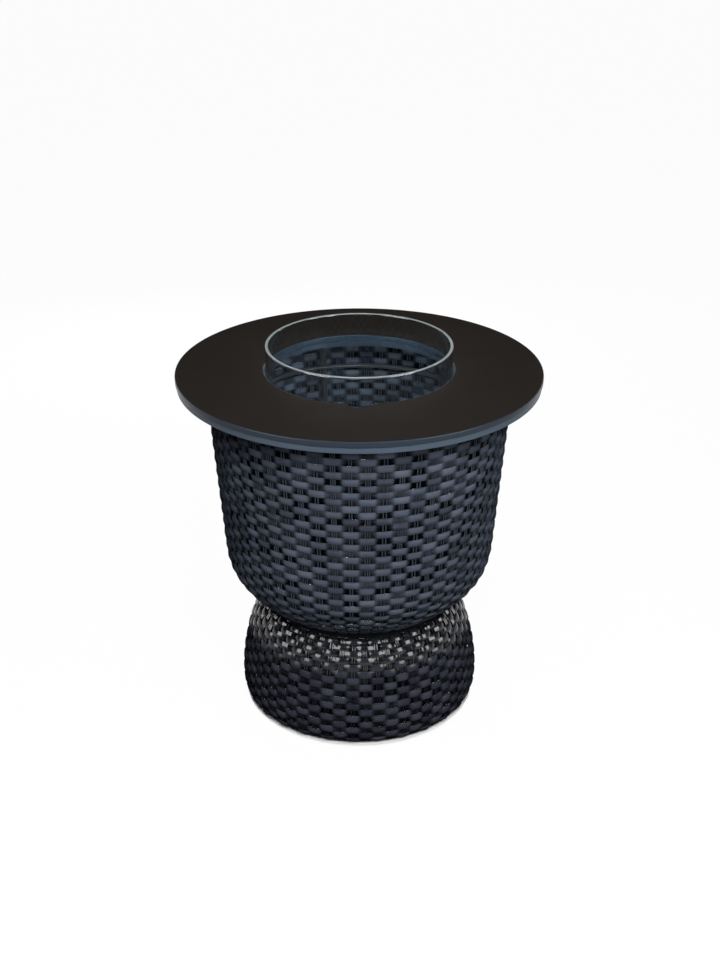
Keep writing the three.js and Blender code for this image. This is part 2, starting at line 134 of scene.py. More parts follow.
@dataclass(frozen=True)
class Finish:
    """A plain finish: one colour on the shader's own socket, with a fine skin of bumps.

    A bump is a grain across and stands up to a bump_height times the relief. Above the
    height sheen_above, where it is given, the specular level rises to the sheen within
    sheen_fade.
    """

    name: str
    colour: str
    roughness: float
    metallic: float = 0.0
    ior: float = 1.5
    grain: float = 0.4 * MM
    relief: float = 0.1
    bump_height: float = 0.1 * MM
    specular: float = 0.5
    sheen: float = 0.45
    sheen_above: float | None = None
    sheen_fade: float = 25 * MM

    def material(self) -> bpy.types.Material:
        """Makes the node material.

        Returns:
            A material with one Principled shader, dressed by the finish's own pattern.
        """
        material = bpy.data.materials.new(self.name)
        material.use_nodes = True
        tree = material.node_tree
        tree.nodes.clear()
        shader = add_node(tree, "ShaderNodeBsdfPrincipled", None, {
            "Base Color": linear(self.colour), "Roughness": self.roughness,
            "Metallic": self.metallic, "IOR": self.ior,
            "Specular IOR Level": self.specular,
        })
        self.dress(tree, shader)
        add_node(tree, "ShaderNodeOutputMaterial", None, {"Surface": shader.outputs[0]})
        material.diffuse_color = linear(self.colour)
        return material

    def rise(self, tree: bpy.types.NodeTree, low: float,
             high: float) -> bpy.types.NodeSocket:
        """A value that goes smoothly from one to another at the height of the sheen.

        Args:
            tree: the material's nodes
            low: the value below it
            high: the value above it
        Returns:
            The socket with the value.
        """
        place = add_node(tree, "ShaderNodeTexCoord").outputs["Object"]
        parts = add_node(tree, "ShaderNodeSeparateXYZ", None, {0: place})
        return add_node(tree, "ShaderNodeMapRange", {"interpolation_type": "SMOOTHSTEP"}, {
            0: parts.outputs[2], 1: self.sheen_above, 2: self.sheen_above + self.sheen_fade,
            3: low, 4: high,
        }).outputs[0]

    def polish(self, tree: bpy.types.NodeTree, shader: bpy.types.Node) -> None:
        """Lets a strand shine on the slope above a height, and hardly below it.

        Args:
            tree: the material's nodes
            shader: its Principled shader
        """
        if self.sheen_above is None:
            return
        socket = shader.inputs["Specular IOR Level"]
        socket.default_value = self.sheen
        tree.links.new(self.rise(tree, self.specular, self.sheen), socket)

    def dress(self, tree: bpy.types.NodeTree, shader: bpy.types.Node) -> None:
        """Adds the finish's own pattern.

        Args:
            tree: the material's nodes
            shader: its Principled shader
        """
        place = add_node(tree, "ShaderNodeTexCoord").outputs["Object"]
        noise = add_node(tree, "ShaderNodeTexNoise", None, {
            "Vector": place, "Scale": 1 / self.grain, "Detail": 2.0, "Roughness": 0.6,
        })
        bump = add_node(tree, "ShaderNodeBump", None, {
            "Height": noise.outputs[0], "Strength": self.relief, "Distance": self.bump_height,
        })
        tree.links.new(bump.outputs[0], shader.inputs["Normal"])
        self.polish(tree, shader)


@dataclass(frozen=True)
class Laminate(Finish):
    """Compact laminate, with a second tone in wide clouds, so many to a metre."""

    worn_colour: str = "#201c19"
    clouds: float = 14.0

    def dress(self, tree: bpy.types.NodeTree, shader: bpy.types.Node) -> None:
        """Adds a faint cloud of wear over the pressed texture.

        Args:
            tree: the material's nodes
            shader: its Principled shader
        """
        super().dress(tree, shader)
        place = add_node(tree, "ShaderNodeTexCoord").outputs["Object"]
        cloud = add_node(tree, "ShaderNodeTexNoise", None, {
            "Vector": place, "Scale": self.clouds, "Detail": 4.0, "Roughness": 0.6,
        })
        colour = add_node(tree, "ShaderNodeMix", {"data_type": "RGBA"}, {
            0: cloud.outputs[0], 6: linear(self.colour), 7: linear(self.worn_colour),
        })
        tree.links.new(colour.outputs[2], shader.inputs["Base Color"])


@dataclass(frozen=True)
class WovenResin(Finish):
    """Extruded polyethylene strand, finely ribbed along its length.

    The map's U runs along a strand, once round the table. V runs round each strand of a
    piece in turn, so the ribs of all of them are ribs times strands together. That is 28
    round each of the tub's, which are 0.7 mm apart like the real ones, and 13 round each of
    the foot's, 1.4 mm apart, drawn coarser to show. A streak is as wide as a rib, and
    streak_count of them go round the table, each 10 to 12 mm long. The tone attribute paints
    light on the crests and shade where a strand dives. The painted light lies between two
    colours, in batches of 15 to 18 mm, and stands in for the highlights and reflections of a
    strand with no shine. Where a strand is polished, above the sheen's height, the painted
    light drops to a share of itself, because there the real shine shows.
    """

    # The colours that the painted light is drawn in, two of them in random batches
    light_colour: str = "#56616c"
    other_colour: str = "#585b6b"
    batches: float = 60.0
    ribs: float = 14.0
    rib_share: float = 0.35
    rib_height: float = 0.2 * MM
    strands: int = 36
    streak_count: float = 90.0
    streak_share: float = 0.5
    # The share of the painted light that is left where the strand is polished
    painted_light_above_sheen: float = 0.3

    def dress(self, tree: bpy.types.NodeTree, shader: bpy.types.Node) -> None:
        """Adds ribs along the strand, streaks in them, and the painted light and shade of each
        crossing.

        Args:
            tree: the material's nodes
            shader: its Principled shader
        """
        uv = add_node(tree, "ShaderNodeUVMap", {"uv_map": PIECE_MAP}).outputs[0]
        parts = add_node(tree, "ShaderNodeSeparateXYZ", None, {0: uv})
        round_strand = add_node(tree, "ShaderNodeMath", {"operation": "MULTIPLY"}, {
            0: parts.outputs[1], 1: TURN * self.ribs * self.strands,
        })
        wave = add_node(tree, "ShaderNodeMath", {"operation": "SINE"}, {
            0: round_strand.outputs[0],
        })
        stretch = add_node(tree, "ShaderNodeMapping", None, {
            "Vector": uv, "Scale": (self.streak_count, self.ribs * self.strands, 1.0),
        })
        streaks = add_node(tree, "ShaderNodeTexNoise", None, {
            "Vector": stretch.outputs[0], "Scale": 1.0, "Detail": 3.0, "Roughness": 0.55,
        })
        height = add_node(tree, "ShaderNodeMath", {"operation": "MULTIPLY_ADD"}, {
            0: wave.outputs[0], 1: self.rib_share, 2: streaks.outputs[0],
        })
        bump = add_node(tree, "ShaderNodeBump", None, {
            "Height": height.outputs[0], "Strength": self.relief, "Distance": self.rib_height,
        })
        tree.links.new(bump.outputs[0], shader.inputs["Normal"])
        # Painted light on the crests, painted shade in the dives and at the edges, and a random
        # tone
        tone = add_node(tree, "ShaderNodeAttribute", {"attribute_name": PAINTED_LIGHT_AND_TONE})
        share = add_node(tree, "ShaderNodeMath", {"operation": "MULTIPLY_ADD", "use_clamp": True}, {
            0: streaks.outputs[0], 1: self.streak_share, 2: tone.outputs["Fac"],
        })
        # Where the strand is polished the painted light is turned down, as its real shine shows
        # there
        if self.sheen_above is not None:
            share = add_node(tree, "ShaderNodeMath", {"operation": "MULTIPLY"}, {
                0: share.outputs[0], 1: self.rise(tree, 1.0, self.painted_light_above_sheen),
            })
        cloud = add_node(tree, "ShaderNodeTexNoise", None, {
            "Vector": uv, "Scale": self.batches, "Detail": 1.0, "Roughness": 0.5,
        })
        drawn = add_node(tree, "ShaderNodeMix", {"data_type": "RGBA"}, {
            0: cloud.outputs[0], 6: linear(self.light_colour), 7: linear(self.other_colour),
        })
        colour = add_node(tree, "ShaderNodeMix", {"data_type": "RGBA"}, {
            0: share.outputs[0], 6: linear(self.colour), 7: drawn.outputs[2],
        })
        tree.links.new(colour.outputs[2], shader.inputs["Base Color"])
        self.polish(tree, shader)


@dataclass(frozen=True)
class ClearAcrylic(Finish):
    """Cast acrylic, whose thin wall takes little of the light that passes."""

    shadow_tint: str = "#eef4f6"

    def dress(self, tree: bpy.types.NodeTree, shader: bpy.types.Node) -> None:
        """Lets the light through."""
        shader.inputs["Transmission Weight"].default_value = 1.0

    def material(self) -> bpy.types.Material:
        """Makes the material, with a shadow as pale as the tint.

        Returns:
            The clear material, which is plainly see-through to rays that look for a lamp.
        """
        material = super().material()
        tree = material.node_tree
        output = next(n for n in tree.nodes if n.type == "OUTPUT_MATERIAL")
        body = output.inputs["Surface"].links[0].from_socket
        path = add_node(tree, "ShaderNodeLightPath")
        clear = add_node(tree, "ShaderNodeBsdfTransparent", None, {
            "Color": linear(self.shadow_tint),
        })
        mixed = add_node(tree, "ShaderNodeMixShader", None, {
            0: path.outputs["Is Shadow Ray"], 1: body, 2: clear.outputs[0],
        })
        tree.links.new(mixed.outputs[0], output.inputs["Surface"])
        return material


# Compact laminate: paper and resin pressed hot against a matt plate, so it is flat and nearly
# black, and shows no highlight. A faint cloud keeps it from looking painted.
LAMINATE = Laminate("black_compact_laminate", "#1a1715", 0.8, ior=1.3, grain=0.5 * MM,
                    relief=0.12, specular=0.15)
# The same board's sawn and buffed edge, smoother than the face: a dark core whose colour carries a
# painted reflection of the room's blue.
PANEL_EDGE = Finish("black_laminate_core_painted_reflection", "#222b35", 0.3, relief=0.05, specular=0.15)
# Aluminium angle, powder coated and baked: an even satin skin with a faint orange peel. Its
# blue-grey is the coat's colour, raised by a painted reflection of the room.
BAND_PAINT = Finish("blue_grey_coated_aluminium", "#3e4a57", 0.35, grain=0.6 * MM,
                    relief=0.06, specular=0.15)
# Steel bar under the same coat, painted darker as the shade that falls in the hole.
HOLE_PAINT_WITH_PAINTED_SHADE = Finish("blue_grey_coated_steel_painted_shade", "#232b35", 0.4, grain=0.6 * MM, relief=0.06,
                    specular=0.15)
# Steel rod, powder coated in bulk: a coarser peel, which breaks up its highlights.
ROD_COAT = Finish("charcoal_powder_coat", "#23262b", 0.42, grain=0.7 * MM, relief=0.35)
# Polyethylene strand, extruded flat through a ribbed die and woven by hand: satin, with
# painted light on each crest and painted shade, near black, where it dives, with streaks
# along it. It has no shine of its own, so the painted light stands in for its highlights.
TUB_STRAND = WovenResin("tub_flat_rattan", "#030405", 0.45, relief=0.5, specular=0.0)
# The same strand from a smoother die, rubbed bright in use on the foot's upper slope, where
# it glints as small squares. Below that slope it has no shine, and its painted light on the
# crests stands in for the room's reflection; above it that painted light is turned down.
FOOT_STRAND = WovenResin("foot_flat_rattan", "#030405", 0.17, relief=0.25, strands=16,
                         specular=0.0, light_colour="#40464f", other_colour="#413f4c",
                         sheen_above=90 * MM)
# Round polyethylene core, extruded: thin pale lines in the dark between two strands, a
# painted highlight, as the core has no shine. Its bumps are drawn coarser than the real
# ones, or they would not show.
TUB_WIRE = Finish("tub_round_rattan_core", "#363c44", 0.4, grain=2 * MM, relief=0.25,
                  specular=0.0)
# The foot's core, polished like its strands: upright glints between the squares.
FOOT_WIRE = Finish("foot_round_rattan_core", "#1b1e23", 0.14, grain=2 * MM, relief=0.2,
                   specular=0.0, sheen_above=80 * MM)
# A strand wound tightly round the edge rod: near black, a painted shade of the crease where its
# turns shade each other.
BINDING = Finish("wound_rattan_edge", "#08090b", 0.8, grain=1.5 * MM, relief=0.3, specular=0.05)
# Acrylic cast and formed over a polished mould: water-clear, seen by its edge and glints.
ACRYLIC = ClearAcrylic("clear_cast_acrylic", "#f4f8f8", 0.0, ior=1.49)
# The bowl's rim: a pale grey band over its top, a painted highlight where the rounded lip catches
# the light.
ACRYLIC_RIM_HIGHLIGHT = Finish("acrylic_rim_painted_highlight", "#7d8587", 0.3, ior=1.49, relief=0.02)
# Silicone, moulded in a blasted tool: milky and dull, with no highlight.
SILICONE = Finish("translucent_grey_silicone", "#b9bbb8", 0.6, ior=1.41, grain=0.8 * MM,
                  relief=0.15)
# Nylon, injection moulded with a spark-eroded grain: a dull black.
NYLON = Finish("black_moulded_nylon", "#141517", 0.5, grain=0.5 * MM, relief=0.25)
# Stainless steel, cold headed and tumbled: bright, with soft blurred reflections.
STEEL = Finish("stainless_steel_screw", "#b5b9bd", 0.3, metallic=1.0, grain=0.6 * MM,
               relief=0.1)

_dressed: dict[Finish, bpy.types.Material] = {}


def finished(finish: Finish) -> bpy.types.Material:
    """Finds the material of a finish, made once.

    Args:
        finish: the finish
    Returns:
        Its material.
    """
    if finish not in _dressed:
        _dressed[finish] = finish.material()
    return _dressed[finish]


# Surfaces on grids of points


def grid_corners(along: int, across: int, closed: tuple[bool, bool]) -> np.ndarray:
    """Lists the corners of each four-sided face of a grid.

    Face (i, j) has the corners (i, j), (i, j + 1), (i + 1, j + 1) and (i + 1, j).

    Args:
        along: points in the first direction
        across: points in the second direction
        closed: whether each direction joins up with itself
    Returns:
        An array of (faces, 4, 2) with the whole numbers i and j, not wrapped.
    """
    i = np.arange(along if closed[0] else along - 1)
    j = np.arange(across if closed[1] else across - 1)
    first = np.stack(np.meshgrid(i, j, indexing="ij"), axis=-1).reshape(-1, 1, 2)
    return first + np.array([[0, 0], [0, 1], [1, 1], [1, 0]])


def grid_faces(shape: tuple[int, int, int],
               closed: tuple[bool, bool]) -> tuple[np.ndarray, np.ndarray]:
    """Lists the faces of several grids alike.

    The map has the share of the way along a grid in U, and in V the grid's number plus the
    share of the way across, over all grids.

    Args:
        shape: how many grids, and their points along and across
        closed: whether the grids join up with themselves along and across
    Returns:
        The point numbers of each face's corners, (faces, 4), and their places on the map,
        (faces, 4, 2).
    """
    count, along, across = shape
    corners = grid_corners(along, across, closed)
    wrapped = corners % (along, across)
    one = wrapped[..., 0] * across + wrapped[..., 1]
    faces = (one[None] + np.arange(count)[:, None, None] * along * across).reshape(-1, 4)
    spans = np.array([along if closed[0] else along - 1, across if closed[1] else across - 1])
    shares = np.broadcast_to(corners / spans, (count, *corners.shape)).copy()
    shares[..., 1] = (shares[..., 1] + np.arange(count)[:, None, None]) / count
    return faces, shares.reshape(-1, 4, 2)


def surface(name: str, points: np.ndarray, closed: tuple[bool, bool] = (True, True),
            tone: np.ndarray | None = None) -> bpy.types.Object:
    """Puts one grid of points, or several alike, into a mesh object.

    Points that coincide, as at a pole, become one. The mesh is turned so that its faces
    point outwards: the sum of first corner . (second x third) over its faces is positive
    for a closed body seen from outside.

    Args:
        name: the piece's name
        points: an array of (grids, along, across, 3), or (along, across, 3) for one grid
        closed: whether the grids join up with themselves along and across
        tone: a value for each point, kept as an attribute for the material
    Returns:
        The object, linked to the scene.
    """
    grids = points if points.ndim == 4 else points[None]
    faces, shares = grid_faces(grids.shape[:3], closed)
    flat = grids.reshape(-1, 3)
    _, first, merged = np.unique(np.round(flat, MERGE_DIGITS), axis=0, return_index=True,
                                 return_inverse=True)
    faces = merged.reshape(-1)[faces]
    places = flat[first]
    a, b, c, d = (places[faces[:, k]] for k in range(4))
    volume = np.einsum("ij,ij->", a, np.cross(b, c)) + np.einsum("ij,ij->", a, np.cross(c, d))
    if volume < 0:
        faces, shares = faces[:, ::-1], shares[:, ::-1]
    kept = faces != np.roll(faces, 1, axis=1)
    sides = kept.sum(axis=1)
    whole = sides >= 3
    kept &= whole[:, None]
    loops, loop_uv = faces[kept], shares[kept]
    sides = sides[whole]

    mesh = bpy.data.meshes.new(name)
    mesh.vertices.add(len(places))
    mesh.vertices.foreach_set("co", places.astype(np.float32).ravel())
    mesh.loops.add(len(loops))
    mesh.loops.foreach_set("vertex_index", loops.astype(np.int32))
    mesh.polygons.add(len(sides))
    starts = np.concatenate([[0], np.cumsum(sides)[:-1]])
    mesh.polygons.foreach_set("loop_start", starts.astype(np.int32))
    mesh.polygons.foreach_set("loop_total", sides.astype(np.int32))
    layer = mesh.uv_layers.new(name=PIECE_MAP)
    layer.data.foreach_set("uv", loop_uv.astype(np.float32).ravel())
    if tone is not None:
        values = mesh.attributes.new(PAINTED_LIGHT_AND_TONE, "FLOAT", "POINT")
        values.data.foreach_set("value", tone.reshape(-1)[first].astype(np.float32))
    mesh.update(calc_edges=True)
    mesh.validate()
    mesh.shade_smooth()
    mesh.set_sharp_from_angle(angle=SHARP_ANGLE)
    made = bpy.data.objects.new(name, mesh)
    bpy.context.scene.collection.objects.link(made)
    return made


def eased(corners: np.ndarray, radius: float, steps: int = 4, closed: bool = True) -> np.ndarray:
    """Rounds the corners of an outline.

    Each corner P between points A and B on its two edges, a radius away, becomes the curve
    (1-t)^2 A + 2t(1-t) P + t^2 B. A point a little before A and one after B keep the long
    faces flat. An open outline keeps its first and last point.

    Args:
        corners: an array of (points, 2)
        radius: how far from the corner its curve begins
        steps: points along each curve, less one
        closed: whether the last corner joins the first
    Returns:
        The rounded outline, an array of (more points, 2).
    """
    before, after = np.roll(corners, 1, axis=0), np.roll(corners, -1, axis=0)
    back = (before - corners) / np.linalg.norm(before - corners, axis=1, keepdims=True)
    on = (after - corners) / np.linalg.norm(after - corners, axis=1, keepdims=True)
    t = np.linspace(0, 1, steps + 1)[None, :, None]
    here = corners[:, None]
    start, end = here + radius * back[:, None], here + radius * on[:, None]
    curve = (1 - t) ** 2 * start + 2 * t * (1 - t) * here + t ** 2 * end
    lead = here + FLAT_LEAD * radius * back[:, None]
    tail = here + FLAT_LEAD * radius * on[:, None]
    rounded = np.concatenate([lead, curve, tail], axis=1)
    if closed:
        return rounded.reshape(-1, 2)
    inner = rounded[1:-1].reshape(-1, 2)
    return np.concatenate([corners[:1], inner, corners[-1:]])


def about_axis(radius: np.ndarray, angle: np.ndarray, height: np.ndarray) -> np.ndarray:
    """Places points about the table's axis: x = r cos a, y = r sin a, z = height.

    Args:
        radius: distances from the axis
        angle: angles from +X to +Y
        height: heights, of shapes that fit
    Returns:
        The points, an array of the joint shape and 3.
    """
    return np.stack(np.broadcast_arrays(
        radius * np.cos(angle), radius * np.sin(angle), height), axis=-1)


def turned(outline: np.ndarray, segments: int) -> np.ndarray:
    """Turns an outline about the table's axis.

    Args:
        outline: an array of (points, 2) with radii and heights
        segments: steps round the axis
    Returns:
        A grid of points, closed along, of (segments, points, 3).
    """
    angle = np.arange(segments)[:, None] * TURN / segments + FRONT
    return about_axis(outline[None, :, 0], angle, outline[None, :, 1])


def rectangle(left: float, right: float, low: float, high: float) -> np.ndarray:
    """Lists the four corners between two sides and two levels, as (4, 2)."""
    return np.array([[left, low], [right, low], [right, high], [left, high]])


def round_section(radius: float, sides: int) -> np.ndarray:
    """Works out a circle: radius times the cosine and the sine of equal angles.

    Args:
        radius: the circle's radius
        sides: how many points it has
    Returns:
        An array of (sides, 2).
    """
    angle = np.arange(sides) * TURN / sides
    return radius * np.stack([np.cos(angle), np.sin(angle)], axis=-1)


def rod_along(path: np.ndarray, side: np.ndarray, section: np.ndarray) -> np.ndarray:
    """Carries a closed section along an open path and closes its ends flat.

    The section's first axis points along the cross product of the path's direction and the
    side, its second along the side. The first and last rings shrink to a point.

    Args:
        path: an array of (steps, 3)
        side: the unit direction square to the path, one for the whole path
        section: an array of (points, 2)
    Returns:
        A grid of points, closed across, of (steps + 2, points, 3).
    """
    ahead = np.gradient(path, axis=0)
    ahead /= np.linalg.norm(ahead, axis=1, keepdims=True)
    normal = np.cross(ahead, side)
    normal /= np.linalg.norm(normal, axis=1, keepdims=True)
    ring = (path[:, None] + section[None, :, :1] * normal[:, None]
            + section[None, :, 1:] * side[None, None])
    ends = [np.repeat(path[k][None, None], len(section), axis=1) for k in (0, -1)]
    return np.concatenate([ends[0], ring, ends[1]])


def spun(points: np.ndarray, angle: float) -> np.ndarray:
    """Turns points about the table's axis.

    Args:
        points: an array that ends in a dimension of 3
        angle: how far to turn them, from +X to +Y
    Returns:
        The turned points, of the same shape.
    """
    c, s = math.cos(angle), math.sin(angle)
    return points @ np.array([[c, s, 0], [-s, c, 0], [0, 0, 1]])


def piece(name: str, points: np.ndarray, finish: Finish, nodes: tuple[str, ...],
          body: Body = Body.TABLE, closed: tuple[bool, bool] = (True, True),
          tone: np.ndarray | None = None) -> bpy.types.Object:
    """Makes one finished piece, rides it on its body and hides the model's nodes that it stands
    for.

    Args:
        name: the piece's name
        points: its grid or grids of points
        finish: what it is made of
        nodes: the model's nodes that it replaces, or none
        body: the body that it moves with
        closed: as for surface
        tone: as for surface
    Returns:
        The piece.
    """
    made = surface(name, points, closed, tone)
    made.data.materials.append(finished(finish))
    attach(made, body.value)
    if nodes:
        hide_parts(*nodes)
    log.info("%s: %d faces", name, len(made.data.polygons))
    return made


def face_vectors(made: bpy.types.Object, name: str) -> np.ndarray:
    """Reads one vector of each face of a piece.

    Args:
        made: the piece
        name: normal or center
    Returns:
        An array of (faces, 3).
    """
    values = np.empty(len(made.data.polygons) * 3, np.float32)
    made.data.polygons.foreach_get(name, values)
    return values.reshape(-1, 3)


def refinish(made: bpy.types.Object, finish: Finish, chosen: np.ndarray) -> None:
    """Gives some faces of a piece a second finish.

    Args:
        made: the piece
        finish: the second finish
        chosen: whether each face takes it
    """
    made.data.materials.append(finished(finish))
    made.data.polygons.foreach_set("material_index", chosen.astype(np.int32))


# The outsides of the two skins


def cubic(controls: np.ndarray, steps: int) -> np.ndarray:
    """Draws a curve of four controls: (1-t)^3 A + 3t(1-t)^2 B + 3t^2 (1-t) C + t^3 D.

    Args:
        controls: A, B, C and D, an array of (4, 2)
        steps: points along it, less one
    Returns:
        An array of (steps + 1, 2).
    """
    t = np.linspace(0, 1, steps + 1)[:, None]
    weights = np.hstack([(1 - t) ** 3, 3 * t * (1 - t) ** 2, 3 * t ** 2 * (1 - t), t ** 3])
    return weights @ controls


@dataclass(frozen=True)
class SkinSizes:
    """Sizes of the two skins, as they are in the model."""

    top_height: float = 425 * MM
    top_radius: float = 210 * MM
    panel_thickness: float = 7 * MM
    skin_depth: float = 4.6 * MM
    tub_inset: float = 32.6 * MM
    hip_draw: float = 14.4 * MM
    hip_height: float = 232 * MM
    shoulder_ease: float = 40 * MM
    shoulder_swell: float = 0.5 * MM
    shoulder_height: float = 171.5 * MM
    waist_draw: float = 52.5 * MM
    waist_height: float = 135 * MM
    belly_swell: float = 29 * MM
    belly_height: float = 125 * MM
    keel_swell: float = 48 * MM
    sole_swell: float = 26.5 * MM
    sole_lift: float = 4 * MM

    @property
    def under_panel(self) -> float:
        """The height just under the top panel."""
        return self.top_height - self.panel_thickness - SEAT_GAP

    @property
    def hip_radius(self) -> float:
        """The tub's radius where its straight taper ends."""
        return self.top_radius - self.tub_inset - self.hip_draw

    @property
    def waist_radius(self) -> float:
        """The radius of the crease between tub and foot."""
        return self.hip_radius - self.waist_draw

    @property
    def sole_radius(self) -> float:
        """The radius of the foot's lower edge."""
        return self.waist_radius + self.sole_swell


class Outline:
    """The outside of a skin in the plane of radius and height, from its top edge down."""

    def __init__(self, points: np.ndarray) -> None:
        """Keeps the outline's points and the distance along it to each.

        Args:
            points: closely spaced points, (points, 2)
        """
        steps = np.linalg.norm(np.diff(points, axis=0), axis=1)
        keep = np.concatenate([[True], steps > SHORTEST_STEP])
        self.points = points[keep]
        steps = np.linalg.norm(np.diff(self.points, axis=0), axis=1)
        self.distance = np.concatenate([[0], np.cumsum(steps)])
        tangent = np.gradient(self.points, self.distance, axis=0)
        self.tangent = tangent / np.linalg.norm(tangent, axis=1, keepdims=True)
        self.length = float(self.distance[-1])

    def at(self, distance: np.ndarray, depth: np.ndarray) -> tuple[np.ndarray, np.ndarray]:
        """Finds places inside the outline: its point plus depth times the way inwards.

        The way inwards is the direction along the outline turned a quarter. Past either
        end the outline runs on straight.

        Args:
            distance: how far along the outline
            depth: how far inside it, of the same shape
        Returns:
            The radii and the heights.
        """
        held = np.clip(distance, 0, self.length)
        beyond = distance - held
        radius, height = (np.interp(held, self.distance, self.points[:, k]) for k in (0, 1))
        out, up = (np.interp(held, self.distance, self.tangent[:, k]) for k in (0, 1))
        return radius + beyond * out + depth * up, height + beyond * up - depth * out

    def distance_at_height(self, height: float, depth: float) -> float:
        """Finds where the line a depth inside is at a height.

        Args:
            height: the height looked for
            depth: how far inside the outline
        Returns:
            The distance along the outline.
        """
        along = np.linspace(0, self.length, LOOKUP_STEPS)
        _, heights = self.at(along, np.full_like(along, depth))
        return float(np.interp(-height, -heights, along))


def tub_outline(sizes: SkinSizes) -> Outline:
    """Draws the tub: a straight taper from under the top to the hip, then the shoulder.

    Args:
        sizes: the skins' sizes
    Returns:
        The tub's outside.
    """
    slope = sizes.hip_draw / (sizes.under_panel - sizes.hip_height)
    rim = np.array([sizes.hip_radius + sizes.hip_draw,
                    sizes.under_panel - slope * sizes.skin_depth])
    hip = np.array([sizes.hip_radius, sizes.hip_height])
    taper = (hip - rim) / np.linalg.norm(hip - rim)
    shoulder = np.array([
        hip, hip + sizes.shoulder_ease * taper,
        [sizes.hip_radius + sizes.shoulder_swell, sizes.shoulder_height],
        [sizes.waist_radius, sizes.waist_height + SEAT_GAP / 2],
    ])
    straight = rim + (hip - rim) * np.linspace(0, 1, STRAIGHT_STEPS)[:, None]
    return Outline(np.concatenate([straight, cubic(shoulder, SHOULDER_STEPS)]))


def foot_outline(sizes: SkinSizes) -> Outline:
    """Draws the foot: it swells from the waist and turns in under itself.

    Args:
        sizes: the skins' sizes
    Returns:
        The foot's outside.
    """
    return Outline(cubic(np.array([
        [sizes.waist_radius, sizes.waist_height - SEAT_GAP / 2],
        [sizes.waist_radius + sizes.belly_swell, sizes.belly_height],
        [sizes.waist_radius + sizes.keel_swell, 0.0],
        [sizes.sole_radius, sizes.sole_lift],
    ]), FOOT_STEPS))


# The woven skins


@dataclass(frozen=True)
class Chance:
    """Something left to chance: its size, and its limit in standard deviations."""

    size: float
    limit: float

    def of(self, draw: np.ndarray) -> np.ndarray:
        """Scales normal draws by the size, held within the limit."""
        return self.size * np.clip(draw, -self.limit, self.limit)


